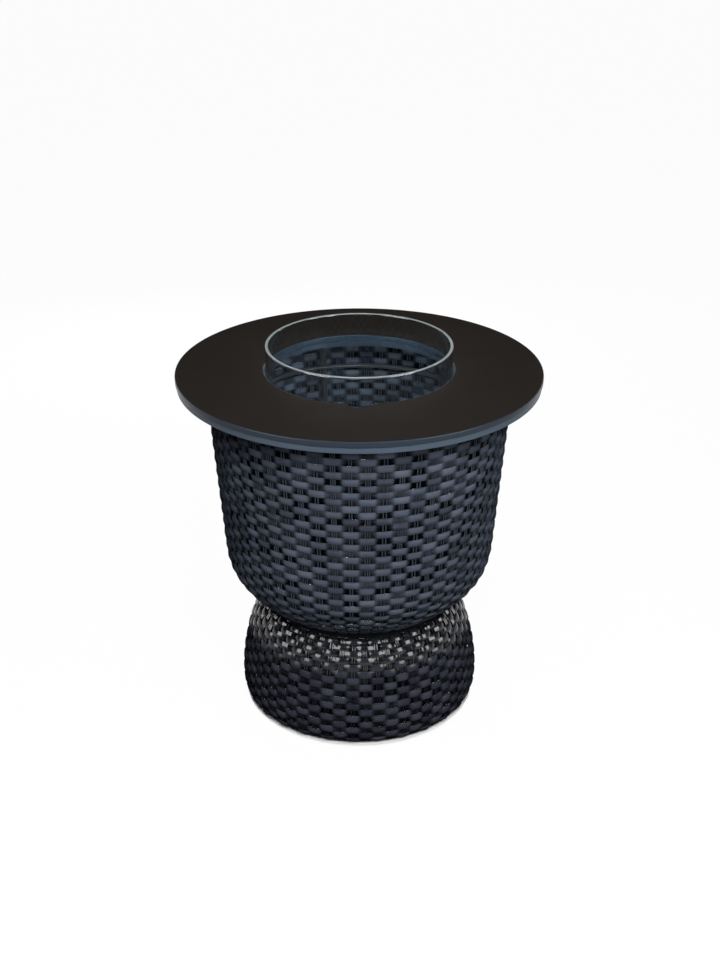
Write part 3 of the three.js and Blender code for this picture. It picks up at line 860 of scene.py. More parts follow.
@dataclass
class WovenSkin:
    """A plain weave of flat strands over stakes of two or three round wires.

    By chance a strand wanders along the outline, is pressed in, leans and differs in tone.
    """

    name: str
    node: str
    outline: Outline
    strand_finish: Finish
    wire_finish: Finish
    seed: int
    shares_of_rows: tuple[float, ...] = (0.0, 1.0)
    columns: int = 58
    strand_pitch: float = 8.2 * MM
    strand_height: float = 8.8 * MM
    strand_thickness: float = 1.2 * MM
    camber: float = 0.6 * MM
    dive: float = 1.1
    over_bias: float = 0.06
    under_depth: float = 3.45 * MM
    stake_depth: float = 1.95 * MM
    wire_diameter: float = 1.5 * MM
    wire_spacing: float = 2.4 * MM
    wire_sway: float = 0.25 * MM
    step_shares: tuple[float, ...] = (-0.5, -0.4, -0.29, -0.16, 0.0, 0.16, 0.29, 0.4)
    section_points: int = 8
    edge_power: float = 0.5
    face_power: float = 0.7
    wire_sides: int = 5
    wire_scatter: float = 0.16 * MM
    pair_spread: float = 1.35
    open_pitch: float = 17 * MM
    squeeze_power: float = 0.6
    wander: float = 0.14 * MM
    wander_limit: float = 0.45 * MM
    wander_turns: tuple[int, int] = (2, 7)
    press: Chance = Chance(0.12 * MM, 1.5)
    lean: Chance = Chance(0.05, 1.6)
    batch: Chance = Chance(0.15, 1.8)
    # Painted light and shade of a strand's face at its waves, painted shade at its lower edge, and
    # painted shadow in the wedges beside the stakes
    tone_waves: tuple[float, ...] = (-0.96, -0.8, -0.05, 0.5)
    tones: tuple[float, ...] = (-0.3, -0.17, 0.02, 0.44)
    lower_shade: float = 0.08
    wedge_shade: float = 0.22
    wedge_wave: float = 0.45
    bound_depth: float = 2.1 * MM
    bound_radius: float = 1.8 * MM
    bound_swell: float = 0.16
    bound_turns: int = 116
    bound_steps: int = 5
    bound_sides: int = 8
    bound_inset: float = 1.1 * MM

    @property
    def rows(self) -> int:
        """Strand intervals from one bound edge to the other."""
        return round(self.outline.length / self.strand_pitch)

    def angle_of(self, column: np.ndarray) -> np.ndarray:
        """The angle of a column number, where a whole number is a stake's middle."""
        return FRONT + (column + 0.5) * TURN / self.columns

    def wave(self, column: np.ndarray, row: np.ndarray) -> np.ndarray:
        """A strand's way in and out: 1 over a stake, -1 under it, flat at both ends.

        The cosine of half a turn for each column and row, raised a little so that the part
        over a stake is the longer one, and pushed towards +-1 by tanh.

        Args:
            column: column numbers
            row: row numbers, of a shape that fits
        Returns:
            The wave, of both shapes together.
        """
        raised = np.cos(math.pi * (column + row)) + self.over_bias
        return np.tanh(self.dive * raised) / math.tanh(self.dive * (1 + self.over_bias))

    def drift(self, random: np.random.Generator, row: np.ndarray,
              angle: np.ndarray) -> np.ndarray:
        """Draws how far strands wander: a sum of slow cosines round the table.

        Args:
            random: the source of chance, which gives a size and a phase for each cosine
            row: the rows
            angle: the angles of the steps
        Returns:
            Distances along the outline, (rows, steps).
        """
        turns = np.arange(*self.wander_turns)
        size = random.normal(0, 1, (self.rows + 1, len(turns)))[row]
        phase = random.uniform(0, TURN, (self.rows + 1, len(turns)))[row]
        swing = size[..., None] * np.cos(turns[None, :, None] * angle + phase[..., None])
        return np.clip(self.wander * swing.sum(axis=1) / 2, -self.wander_limit,
                       self.wander_limit)

    def chances(self, random: np.random.Generator, row: np.ndarray,
                column: np.ndarray) -> np.ndarray:
        """Draws three values for each row at each stake, smoothed from stake to stake.

        Args:
            random: the source of chance
            row: the rows
            column: the columns of the steps
        Returns:
            Normal draws between the stakes, (rows, steps, 3).
        """
        knots = random.normal(0, 1, (self.rows + 1, self.columns, 3))[row]
        whole = np.floor(column).astype(int)
        share = column - whole
        smooth = (share ** 2 * (3 - 2 * share))[None, :, None]
        return (knots[:, whole % self.columns] * (1 - smooth)
                + knots[:, (whole + 1) % self.columns] * smooth)

    def strands(self, low: int, high: int) -> tuple[np.ndarray, np.ndarray]:
        """Works out the strands of some rows.

        Each strand's section is a flattened superellipse: height/2 times the signed square
        root of the cosine, and thickness/2 times the signed 0.7th power of the sine. It
        stands on the outline at the row's distance, and its depth follows the wave. Its
        edges cup round the stake by the camber times the wave times the square of the
        share of the way to the edge.

        Args:
            low: the first row
            high: the last row
        Returns:
            Points of (rows, steps, section, 3) and the painted light and tone of each.
        """
        random = np.random.default_rng(self.seed)
        column = (np.arange(self.columns)[:, None] + np.array(self.step_shares)).ravel()
        angle = self.angle_of(column)
        row = np.arange(low, high + 1)
        drift = self.drift(random, row, angle)
        chance = self.chances(random, row, column)
        wave = self.wave(column[None], row[:, None])
        over = self.strand_thickness / 2
        depth = over + (self.under_depth - over) * (1 - wave) / 2
        depth = depth + self.press.of(chance[..., 0]) * (wave > 0)
        depth = np.maximum(depth, over)
        about = np.arange(self.section_points) * TURN / self.section_points
        c, s = np.cos(about), np.sin(about)
        up = self.strand_height / 2 * np.sign(c) * np.abs(c) ** self.edge_power
        thick = self.strand_thickness / 2 * np.sign(s) * np.abs(s) ** self.face_power
        tilt = self.lean.of(chance[..., 1])[..., None]
        distance = (row[:, None, None] * self.outline.length / self.rows
                    + drift[..., None] + up)
        cup = self.camber * wave[..., None] * (2 * up / self.strand_height) ** 2
        inset = np.maximum(depth[..., None] - thick + tilt * up + cup, 0.0)
        radius, height = self.outline.at(distance, inset)
        points = about_axis(radius, angle[None, :, None], height)
        tone = self.tone(wave, chance[..., 2:], c, s)
        return points, np.broadcast_to(tone, points.shape[:3])

    def tone(self, wave: np.ndarray, chance: np.ndarray, c: np.ndarray,
             s: np.ndarray) -> np.ndarray:
        """Works out how light each point of a strand is.

        The outward half has the painted light of the wave's crest and the inward half that of the
        opposite wave's, with a random tone added. Painted shade darkens the lower edge and
        lightens the upper, and darkens both edges where the strand dives.

        Args:
            wave: the strand's way in and out, (rows, steps)
            chance: a draw for each, (rows, steps, 1)
            c: the cosine of the angle round the section, 1 at the lower edge
            s: its sine, 1 on the outward face
        Returns:
            The tones, (rows, steps, section).
        """
        outward = (1 + s) / 2
        covered = np.clip((self.wedge_wave - wave) / (2 * self.wedge_wave), 0, 1)[..., None]
        return (self.crest(wave)[..., None] * outward + self.crest(-wave)[..., None]
                * (1 - outward) + self.batch.of(chance)
                - self.lower_shade * c - self.wedge_shade * covered * c ** 2)

    def crest(self, wave: np.ndarray) -> np.ndarray:
        """How light a strand's face is painted at a wave: painted light on its crest, painted shade
        where it dives.
        """
        return np.interp(wave, self.tone_waves, self.tones)

    def wire_places(self) -> tuple[np.ndarray, np.ndarray]:
        """Draws where the wires stand: three at each even column and two at each odd one.

        Returns:
            The column of each wire, and how far it stands to the side of its middle.
        """
        columns = np.arange(self.columns)
        in_stake = np.where(columns % 2 == 0, 3, 2)
        first = np.concatenate([[0], np.cumsum(in_stake)[:-1]])
        column, count = np.repeat(columns, in_stake), np.repeat(in_stake, in_stake)
        place = np.arange(len(column)) - np.repeat(first, in_stake)
        spacing = self.wire_spacing * np.where(count == 2, self.pair_spread, 1.0)
        random = np.random.default_rng(self.seed + 1)
        scatter = random.normal(0, self.wire_scatter, len(column))
        return column, (place - (count - 1) / 2) * spacing + scatter

    def wires(self) -> np.ndarray:
        """Works out the stakes: two or three round wires at each column.

        A wire keeps its distance from its column's middle until the columns come closer
        than an open pitch. From there it moves in by a power of the share that is left. It
        sways against the strands: in where one passes over it and out where one dives.
        The first and last rings shrink to a point.

        Returns:
            Points of (wires, steps, sides, 3).
        """
        column, offset = self.wire_places()
        along = np.linspace(0, self.outline.length, 2 * self.rows + 1)
        row = along * self.rows / self.outline.length
        depth = self.stake_depth + self.wire_sway * self.wave(column[:, None], row[None])
        depth[:, [0, -1]] = self.under_depth / 2
        radius, height = self.outline.at(np.broadcast_to(along, depth.shape), depth)
        pitch = TURN * radius / self.columns
        squeeze = np.minimum(1, pitch / self.open_pitch) ** self.squeeze_power
        angle = self.angle_of(column)[:, None]
        side = np.stack([-np.sin(angle), np.cos(angle), np.zeros_like(angle)], axis=-1)
        out = np.stack([np.cos(angle), np.sin(angle), np.zeros_like(angle)], axis=-1)
        path = (out * radius[..., None] + side * (offset[:, None] * squeeze)[..., None]
                + np.array([0, 0, 1]) * height[..., None])
        ahead = np.gradient(path, axis=1)
        ahead /= np.linalg.norm(ahead, axis=-1, keepdims=True)
        across = np.broadcast_to(side, path.shape)
        normal = np.cross(ahead, across)
        section = round_section(self.wire_diameter / 2, self.wire_sides)
        ring = (path[:, :, None] + section[:, :1] * normal[:, :, None]
                + section[:, 1:] * across[:, :, None])
        tips = [np.repeat(path[:, end, None], self.wire_sides, axis=2)
                for end in (slice(None, 1), slice(-1, None))]
        return np.concatenate([tips[0], ring, tips[1]], axis=1)

    def binding(self, distance: float) -> np.ndarray:
        """Works out a bound edge: a strand wound round the edge rod.

        A round section of 1.8 mm radius that swells by up to a sixth along a helix: the
        swell is the absolute sine of half the sum of the angle round the section and the
        turns' angle round the table.

        Args:
            distance: how far along the outline the edge is
        Returns:
            Points of (steps, section, 3).
        """
        turns, sides = self.bound_turns, self.bound_sides
        steps = turns * self.bound_steps
        angle = FRONT + np.arange(steps)[:, None] * TURN / steps
        about = np.arange(sides)[None] * TURN / sides
        middle, height = self.outline.at(np.array([distance]), np.array([self.bound_depth]))
        helix = np.abs(np.sin((turns * angle + about) / 2))
        swell = self.bound_radius * (1 + self.bound_swell * helix)
        return about_axis(middle[0] + swell * np.cos(about), angle,
                          height[0] + swell * np.sin(about))

    def build(self) -> None:
        """Makes the strands, the stakes and the two bound edges."""
        last = self.rows - 1
        marks = [1 + round(share * last) for share in self.shares_of_rows]
        for index, (low, high) in enumerate(zip(marks[:-1], marks[1:])):
            points, tone = self.strands(low, high - 1)
            piece(f"{self.name}_strands_{index + 1}", points, self.strand_finish,
                  (self.node,), tone=tone)
        piece(f"{self.name}_stakes", self.wires(), self.wire_finish, (),
              closed=(False, True))
        edges = {"upper": self.bound_inset, "lower": self.outline.length - self.bound_inset}
        for edge, distance in edges.items():
            # The bindings are near black, a painted shade of the crease
            piece(f"{self.name}_{edge}_binding", self.binding(distance), BINDING,
                  ())


# The rod frame


@dataclass
class RodFrame:
    """Ribs of round rod that follow the skins, and thinner hoops welded inside them."""

    sizes: SkinSizes
    tub: Outline
    foot: Outline
    rib_count: int = 6
    rib_turn: float = math.radians(46.5)
    rib_radius: float = 4 * MM
    rib_gap: float = 0.9 * MM
    rib_tail: float = 4 * MM
    hoop_radius: float = 2.5 * MM
    ring_thickness: float = 3 * MM
    upper_hoop_drop: float = 58 * MM
    shoulder_hoop_height: float = 205 * MM
    belly_hoop_height: float = 62 * MM
    waist_hoop_share: float = 0.4
    rib_steps: int = 64
    rib_sides: int = 16
    hoop_steps: int = 192
    hoop_sides: int = 12

    @property
    def rib_inset(self) -> float:
        """How far a rib's middle lies inside the skin's outside."""
        return self.sizes.skin_depth + self.rib_gap + self.rib_radius

    @property
    def rod_meeting(self) -> float:
        """The distance between the middles of a rib and a hoop that touch."""
        return self.rib_radius + self.hoop_radius + SEAT_GAP

    @property
    def sole_hoop_height(self) -> float:
        """The height of the lowest hoop's middle, under the ends of the ribs."""
        return self.sizes.sole_lift + self.rib_inset - self.rod_meeting

    def rib_points(self, outline: Outline, start: float, end: float) -> np.ndarray:
        """Works out a rib in the plane of +X and +Z.

        Args:
            outline: the skin that it follows
            start: the distance along the outline where it begins
            end: the distance where it ends
        Returns:
            Its grid of points.
        """
        along = np.linspace(start, end, self.rib_steps)
        radius, height = outline.at(along, np.full_like(along, self.rib_inset))
        path = np.stack([radius, np.zeros_like(radius), height], axis=-1)
        return rod_along(path, np.array([0.0, 1.0, 0.0]),
                         round_section(self.rib_radius, self.rib_sides))

    def hoop(self, name: str, radius: float, height: float) -> None:
        """Makes one hoop.

        Args:
            name: the node that it stands for
            radius: the radius to its rod's middle
            height: the height of that
        """
        section = round_section(self.hoop_radius, self.hoop_sides) + (radius, height)
        piece(f"{name}_rod", turned(section, self.hoop_steps), ROD_COAT, (name,))

    def hoop_inside(self, name: str, outline: Outline, height: float) -> None:
        """Makes a hoop that touches the inside of the ribs.

        Args:
            name: the node that it stands for
            outline: the skin that the ribs follow
            height: the height of its rod's middle
        """
        depth = self.rib_inset + self.rod_meeting
        along = outline.distance_at_height(height, depth)
        radius, level = outline.at(np.array([along]), np.array([depth]))
        self.hoop(name, float(radius[0]), float(level[0]))

    def waist_radius(self) -> float:
        """Finds the waist hoop's radius: it lies in the crease, outside the ribs' ends.

        Returns:
            A radius between the skins' crease and the place where it would meet a rib.
        """
        slopes = (-self.tub.tangent[-1][1], -self.foot.tangent[0][1])
        farthest = (self.rib_inset - self.rod_meeting) / max(slopes)
        nearest = self.hoop_radius + SEAT_GAP
        inset = nearest + (farthest - nearest) * self.waist_hoop_share
        return self.sizes.waist_radius - inset

    def build(self) -> None:
        """Makes the twelve ribs and the five hoops."""
        ring_underside = self.sizes.under_panel - self.ring_thickness
        lean = abs(float(self.tub.tangent[0][0])) * self.rib_radius
        start = self.tub.distance_at_height(ring_underside - SEAT_GAP - lean, self.rib_inset)
        tub_rib = self.rib_points(self.tub, start, self.tub.length + self.rib_tail)
        foot_rib = self.rib_points(self.foot, -self.rib_tail, self.foot.length + self.rib_tail)
        for index in range(self.rib_count):
            angle = self.rib_turn + index * TURN / self.rib_count
            for kind, points in (("tub_rib", tub_rib), ("foot_rib", foot_rib)):
                piece(f"{kind}_rod_{index + 1}", spun(points, angle), ROD_COAT,
                      (f"{kind}_{index + 1}",), closed=(False, True))
        self.hoop_inside("upper_hoop", self.tub, self.sizes.top_height - self.upper_hoop_drop)
        self.hoop_inside("shoulder_hoop", self.tub, self.shoulder_hoop_height)
        self.hoop_inside("belly_hoop", self.foot, self.belly_hoop_height)
        self.hoop("waist_hoop", self.waist_radius(), self.sizes.waist_height)
        self.hoop("sole_hoop", self.sizes.sole_radius - self.hoop_radius - SEAT_GAP,
                  self.sole_hoop_height)


# The top


@dataclass
class Top:
    """The matt round top with its hole, the band under its edge and the band in the hole."""

    sizes: SkinSizes
    ease: float = 1.3 * MM
    bowl_radius: float = 107 * MM
    hole_clearance: float = 2 * MM
    notch_width: float = 30 * MM
    notch_depth: float = 10 * MM
    corner_round: float = 0.7 * MM
    band_inset: float = 1.6 * MM
    band_height: float = 6.5 * MM
    band_wall: float = 2 * MM
    band_flange: float = 16 * MM
    band_flange_thickness: float = 1.5 * MM
    hole_band_wall: float = 3 * MM
    hole_band_ease: float = 0.5 * MM
    band_ease: float = 0.6 * MM
    flat_from: float = 0.97
    segments: int = 480
    band_segments: int = 360

    def hole_radius(self) -> np.ndarray:
        """Works out the hole's radius at each angle, with a finger notch at the front.

        Along a ray at an angle a from the front, the notch's circle of radius n, set back
        s from the axis, is met at s cos a + sqrt(n^2 - s^2 sin^2 a). The hole is the larger
        of that and its own radius, blended where the two meet.

        Returns:
            The radius at each segment's angle from the front.
        """
        own = self.bowl_radius + self.hole_clearance
        chord = math.sqrt(own ** 2 - (self.notch_width / 2) ** 2)
        sag = own + self.notch_depth - chord
        nook = ((self.notch_width / 2) ** 2 + sag ** 2) / (2 * sag)
        setback = chord + sag - nook
        angle = np.arange(self.segments) * TURN / self.segments
        inside = np.maximum(nook ** 2 - (setback * np.sin(angle)) ** 2, 0)
        met = setback * np.cos(angle) + np.sqrt(inside)
        met = np.where((inside > 0) & (np.cos(angle) > 0), met, 0.0)
        return self.corner_round * np.logaddexp(own / self.corner_round,
                                                met / self.corner_round)

    def panel(self) -> None:
        """Makes the panel: an eased section whose inner end follows the hole.

        Its sides and arrises are the board's sawn edge, and its faces, whose normals are
        within 14 degrees of upright, the matt laminate.
        """
        inner = self.hole_radius()
        width = self.sizes.top_radius - self.bowl_radius
        corners = rectangle(0, width, self.sizes.under_panel + SEAT_GAP, self.sizes.top_height)
        section = eased(corners, self.ease, 5)
        near = section[:, 0] < width / 2
        radius = np.where(near, inner[:, None] + section[:, 0],
                          self.sizes.top_radius - width + section[:, 0])
        disc = self.ring_piece("top_panel_disc", radius, section[:, 1], LAMINATE,
                               ("top_panel",))
        flat = np.abs(face_vectors(disc, "normal")[:, 2]) >= self.flat_from
        refinish(disc, PANEL_EDGE, ~flat)

    def ring_piece(self, name: str, radius: np.ndarray, height: np.ndarray, finish: Finish,
                   nodes: tuple[str, ...]) -> bpy.types.Object:
        """Makes a ring whose section changes on its way round.

        Args:
            name: the piece's name
            radius: a radius for each angle and section point
            height: a height for each section point
            finish: what it is made of
            nodes: the model's nodes that it replaces
        Returns:
            The piece.
        """
        angle = FRONT + np.arange(self.segments)[:, None] * TURN / self.segments
        return piece(name, about_axis(radius, angle, height), finish, nodes)

    def hole_band(self) -> None:
        """Makes the flat bar on edge that lines the hole under the panel."""
        high = self.sizes.under_panel
        corners = rectangle(0, self.hole_band_wall, high - self.band_height, high)
        section = eased(corners, self.hole_band_ease, 3)
        radius = self.hole_radius()[:, None] + section[:, 0]
        self.ring_piece("hole_band_bar", radius, section[:, 1], HOLE_PAINT_WITH_PAINTED_SHADE,
                        ("hole_band",))

    def edge_band(self) -> None:
        """Makes the angle under the panel's edge: a flange and a skirt with a bent corner."""
        outer = self.sizes.top_radius - self.band_inset
        high = self.sizes.under_panel
        low = high - self.band_height
        flange = high - self.band_flange_thickness
        corners = np.array([
            [outer, low], [outer, high], [outer - self.band_flange, high],
            [outer - self.band_flange, flange], [outer - self.band_wall, flange],
            [outer - self.band_wall, low],
        ])
        section = eased(corners, self.band_ease)
        piece("edge_band_angle", turned(section, self.band_segments), BAND_PAINT,
              ("edge_band",))

    def build(self) -> None:
        """Makes the panel and its two bands."""
        self.panel()
        self.hole_band()
        self.edge_band()


# The bowl and what carries it


@dataclass
class IceBowl:
    """The clear bowl: a straight wall with a rounded rim over a rounded foot."""

    top_height: float = 425 * MM
    radius: float = 107 * MM
    height: float = 205 * MM
    rise: float = 29 * MM
    wall: float = 3.5 * MM
    floor: float = 4 * MM
    corner: float = 24 * MM
    rim_light: float = 0.2
    floor_lead: float = 0.5 * MM
    wall_lead: float = 1 * MM
    corner_points: int = 14
    rim_points: int = 12
    floor_points: int = 8
    segments: int = 240

    def outline(self) -> np.ndarray:
        """Draws the section: from the axis under the floor, out, up, over the rim and back.

        Its corners are quarter circles and its rim a half circle. A lead keeps the flat
        parts flat up to them.

        Returns:
            The radii and heights, an array of (points, 2).
        """
        base = self.top_height + self.rise - self.height
        rim = base + self.height
        inner = self.radius - self.wall
        quarter = np.linspace(-math.pi / 2, 0, self.corner_points)
        half = np.linspace(0, math.pi, self.rim_points)
        c, s = np.cos(quarter), np.sin(quarter)
        outer_foot = np.stack([self.radius - self.corner * (1 - c),
                               base + self.corner * (1 + s)], axis=-1)
        inner_corner = self.corner - self.wall
        inner_foot = np.stack([inner - inner_corner * (1 - c[::-1]),
                               base + self.floor + inner_corner * (1 + s[::-1])], axis=-1)
        lip = self.wall / 2
        middle = self.radius - lip
        over = np.stack([middle + lip * np.cos(half), rim - lip + lip * np.sin(half)], axis=-1)
        out = np.linspace(0, self.radius - self.corner - self.floor_lead, self.floor_points)
        back = np.linspace(inner - inner_corner - self.floor_lead, 0, self.floor_points)
        under = np.stack([out, np.full_like(out, base)], axis=-1)
        upper = np.stack([back, np.full_like(back, base + self.floor)], axis=-1)
        high = rim - lip - self.wall_lead
        walls = [np.array([[self.radius, base + self.corner + self.wall_lead],
                           [self.radius, high]]),
                 np.array([[inner, high],
                           [inner, base + self.floor + inner_corner + self.wall_lead]])]
        return np.concatenate([under, outer_foot, walls[0], over, walls[1], inner_foot, upper])

    def build(self) -> None:
        """Makes the bowl, which lifts out, with a painted highlight along the top of its rim."""
        bowl = piece("ice_bowl_clear", turned(self.outline(), self.segments), ACRYLIC,
                     ("ice_bowl",), body=Body.BOWL, closed=(True, False))
        # The top of the rim takes a pale painted highlight
        edge = self.top_height + self.rise - self.rim_light * self.wall
        refinish(bowl, ACRYLIC_RIM_HIGHLIGHT, face_vectors(bowl, "center")[:, 2] > edge)


@dataclass
class Cradle:
    """A flat ring on three flat arms under the bowl, with a soft pad on each."""

    frame: RodFrame
    bowl: IceBowl
    count: int = 3
    radius: float = 80 * MM
    width: float = 24 * MM
    thickness: float = 3 * MM
    arm_width: float = 16 * MM
    pad_radius: float = 7 * MM
    pad_height: float = 2.5 * MM
    bar_ease: float = 0.7 * MM
    pad_ease: float = 0.8 * MM
    segments: int = 180
    pad_segments: int = 40

    @property
    def top(self) -> float:
        """The height of the ring's upper face."""
        base = self.bowl.top_height + self.bowl.rise - self.bowl.height
        return base - 2 * SEAT_GAP - self.pad_height

    def ring(self) -> None:
        """Makes the flat ring with rolled edges."""
        corners = rectangle(self.radius - self.width, self.radius,
                            self.top - self.thickness, self.top)
        section = eased(corners, self.bar_ease, 3)
        piece("cradle_ring_flat", turned(section, self.segments), ROD_COAT,
              ("cradle_ring",))

    def arms(self) -> None:
        """Makes the arms: an eased flat bar from the ring out to a rib."""
        rods = self.frame
        middle = self.top - self.thickness / 2
        along = rods.tub.distance_at_height(middle, rods.rib_inset)
        rib, _ = rods.tub.at(np.array([along]), np.array([rods.rib_inset]))
        start = self.radius + SEAT_GAP
        end = float(rib[0]) - rods.rib_radius - SEAT_GAP
        x = np.linspace(start, end, 5)
        path = np.stack([x, np.zeros_like(x), np.full_like(x, middle)], axis=-1)
        half, tall = self.arm_width / 2, self.thickness / 2
        section = eased(rectangle(-tall, tall, -half, half), self.bar_ease, 3)
        bar = rod_along(path, np.array([0.0, 1.0, 0.0]), section)
        for index in range(self.count):
            angle = rods.rib_turn + index * TURN / self.count
            piece(f"cradle_arm_bar_{index + 1}", spun(bar, angle), ROD_COAT,
                  (f"cradle_arm_{index + 1}",), closed=(False, True))

    def pads(self) -> None:
        """Makes the pads: low discs with a soft shoulder."""
        low = self.top + SEAT_GAP
        corners = rectangle(0, self.pad_radius, low, low + self.pad_height)
        disc = turned(eased(corners, self.pad_ease, closed=False), self.pad_segments)
        out = self.radius - self.width / 2
        for index in range(self.count):
            angle = self.frame.rib_turn + index * TURN / self.count
            piece(f"bowl_pad_disc_{index + 1}", spun(disc + (out, 0, 0), angle), SILICONE,
                  (f"bowl_pad_{index + 1}",), closed=(True, False))

    def build(self) -> None:
        """Makes the ring, the arms and the pads."""
        self.ring()
        self.arms()
        self.pads()


@dataclass
class Glides:
    """Small nylon feet under the foot's lower hoop."""

    sizes: SkinSizes
    frame: RodFrame
    radius: float = 4.5 * MM
    ease: float = 0.6 * MM
    segments: int = 40

    def build(self) -> None:
        """Makes one glide under each rib."""
        hoop = self.frame.hoop_radius + SEAT_GAP
        height = self.frame.sole_hoop_height - hoop
        corners = rectangle(0, self.radius, 0, height)
        disc = turned(eased(corners, self.ease, closed=False), self.segments)
        out = self.sizes.sole_radius - hoop - self.radius
        for index in range(self.frame.rib_count):
            angle = self.frame.rib_turn + index * TURN / self.frame.rib_count
            piece(f"glide_foot_{index + 1}", spun(disc + (out, 0, 0), angle), NYLON,
                  (f"glide_{index + 1}",), closed=(True, False))


@dataclass
class CarriedOver:
    """The model's own solids that stay in sight, with finishes for their slots."""

    finishes: tuple[tuple[str, Finish], ...] = (
        ("mounting_ring", ROD_COAT),
        ("top_screw_", STEEL),
    )

    def build(self) -> None:
        """Gives each carried-over node its finish."""
        for name, node in frame["nodes"].items():
            for start, finish in self.finishes:
                if name.startswith(start):
                    node.data.materials.clear()
                    node.data.materials.append(finished(finish))
                    log.info("%s: %s", name, finish.name)


# The studio


class Task(Enum):
    """What a lamp is hung for."""

    FILL = "even light, with no highlight of its own"
    HIGHLIGHT = "highlights on gloss alone"
    BOTH = "both"


@dataclass
class Studio:
    """A pale floor, soft lamps and the camera at the photograph's viewing angle.

    The floor is white to the camera from the radius shade_to outwards. In gloss the room is
    white only at the back and below the ceiling. It goes over where a direction's part
    along Y lies from back_from to back_to, and its part along Z from walls_top to
    dark_above.
    """

    eye: tuple[float, float, float] = (0.0009, -1.470, 0.9914)
    pitch: float = math.radians(25.775)
    focal_px: float = 1371.8
    image_height_px: float = 960.0
    floor_size: float = 26.0
    floor_colour: str = "#f4f4f3"
    floor_bounce: str = "#6e6e6e"
    floor_white: float = 0.97
    shade_from: float = 0.1405
    shade_to: float = 0.143
    walls_top: float = 0.1
    dark_above: float = 0.3
    back_from: float = -0.3
    back_to: float = 0.3
    sensor_mm: float = 36.0
    ceiling_light: float = 0.02
    room_light: float = 0.03

    def camera(self) -> None:
        """Sets the camera level from side to side, looking down by its pitch."""
        data = bpy.data.cameras.new("camera")
        data.sensor_fit = "VERTICAL"
        data.sensor_height = self.sensor_mm
        data.lens = self.focal_px * data.sensor_height / self.image_height_px
        camera = bpy.data.objects.new("camera", data)
        camera.location = self.eye
        camera.rotation_euler = (math.pi / 2 - self.pitch, 0, 0)
        bpy.context.scene.collection.objects.link(camera)
        bpy.context.scene.camera = camera

    def floor(self) -> None:
        """Lays a pale floor that looks white to the camera but keeps the table's shadow.

        Under the foot, where no light comes, it's left to the lamps alone.
        """
        half = self.floor_size / 2
        mesh = bpy.data.meshes.new("floor")
        mesh.from_pydata([(-half, -half, 0), (half, -half, 0), (half, half, 0),
                          (-half, half, 0)], [], [(0, 1, 2, 3)])
        ground = bpy.data.objects.new("floor", mesh)
        bpy.context.scene.collection.objects.link(ground)
        material = Finish("pale_floor", self.floor_colour, 0.7, specular=0.1).material()
        tree = material.node_tree
        output = next(n for n in tree.nodes if n.type == "OUTPUT_MATERIAL")
        lit = output.inputs["Surface"].links[0].from_socket
        shader = next(n for n in tree.nodes if n.type == "BSDF_PRINCIPLED")
        colour = add_node(tree, "ShaderNodeMix", {"data_type": "RGBA"}, {
            0: self.seen_directly(tree), 6: linear(self.floor_bounce),
            7: linear(self.floor_colour),
        })
        tree.links.new(colour.outputs[2], shader.inputs["Base Color"])
        place = add_node(tree, "ShaderNodeTexCoord").outputs["Object"]
        out = add_node(tree, "ShaderNodeVectorMath", {"operation": "LENGTH"}, {0: place})
        open_floor = add_node(tree, "ShaderNodeMapRange", {"interpolation_type": "SMOOTHSTEP"}, {
            0: out.outputs["Value"], 1: self.shade_from, 2: self.shade_to,
            3: 0.0, 4: self.floor_white,
        })
        share = add_node(tree, "ShaderNodeMath", {"operation": "MULTIPLY"}, {
            0: self.seen_directly(tree), 1: open_floor.outputs[0],
        })
        white = add_node(tree, "ShaderNodeEmission", None, {"Color": (1, 1, 1, 1)})
        mixed = add_node(tree, "ShaderNodeMixShader", None, {
            0: share.outputs[0], 1: lit, 2: white.outputs[0],
        })
        tree.links.new(mixed.outputs[0], output.inputs["Surface"])
        mesh.materials.append(material)

    def seen_directly(self, tree: bpy.types.NodeTree) -> bpy.types.NodeSocket:
        """Tells the rays that show a thing from the ones that only light the table.

        Args:
            tree: the nodes of the material or the world
        Returns:
            A socket, 1 for rays from the camera, off gloss or through the bowl, else 0.
        """
        path = add_node(tree, "ShaderNodeLightPath")
        seen = path.outputs["Is Camera Ray"]
        for name in ("Is Glossy Ray", "Is Transmission Ray"):
            seen = add_node(tree, "ShaderNodeMath", {"operation": "MAXIMUM"}, {
                0: seen, 1: path.outputs[name],
            }).outputs[0]
        return seen

    def world(self) -> None:
        """Fills the room with soft light, and shows white behind the table.

        In gloss and through the bowl the back is white too, and the ceiling and the front
        are dark.
        """
        world = bpy.data.worlds.new("world")
        bpy.context.scene.world = world
        world.use_nodes = True
        tree = world.node_tree
        tree.nodes.clear()
        way = add_node(tree, "ShaderNodeTexCoord").outputs["Generated"]
        parts = add_node(tree, "ShaderNodeSeparateXYZ", None, {0: way})
        walls = add_node(tree, "ShaderNodeMapRange", {"interpolation_type": "SMOOTHSTEP"}, {
            0: parts.outputs[2], 1: self.walls_top, 2: self.dark_above,
            3: 1.0, 4: self.ceiling_light,
        })
        room = add_node(tree, "ShaderNodeMapRange", {"interpolation_type": "SMOOTHSTEP"}, {
            0: parts.outputs[1], 1: self.back_from, 2: self.back_to,
            3: self.ceiling_light, 4: walls.outputs[0],
        })
        path = add_node(tree, "ShaderNodeLightPath")
        shown = add_node(tree, "ShaderNodeMath", {"operation": "MAXIMUM"}, {
            0: room.outputs[0], 1: path.outputs["Is Camera Ray"],
        })
        strength = add_node(tree, "ShaderNodeMapRange", None, {
            0: self.seen_directly(tree), 3: self.room_light, 4: shown.outputs[0],
        })
        back = add_node(tree, "ShaderNodeBackground", None, {
            "Color": (1, 1, 1, 1), "Strength": strength.outputs[0],
        })
        add_node(tree, "ShaderNodeOutputWorld", None, {0: back.outputs[0]})

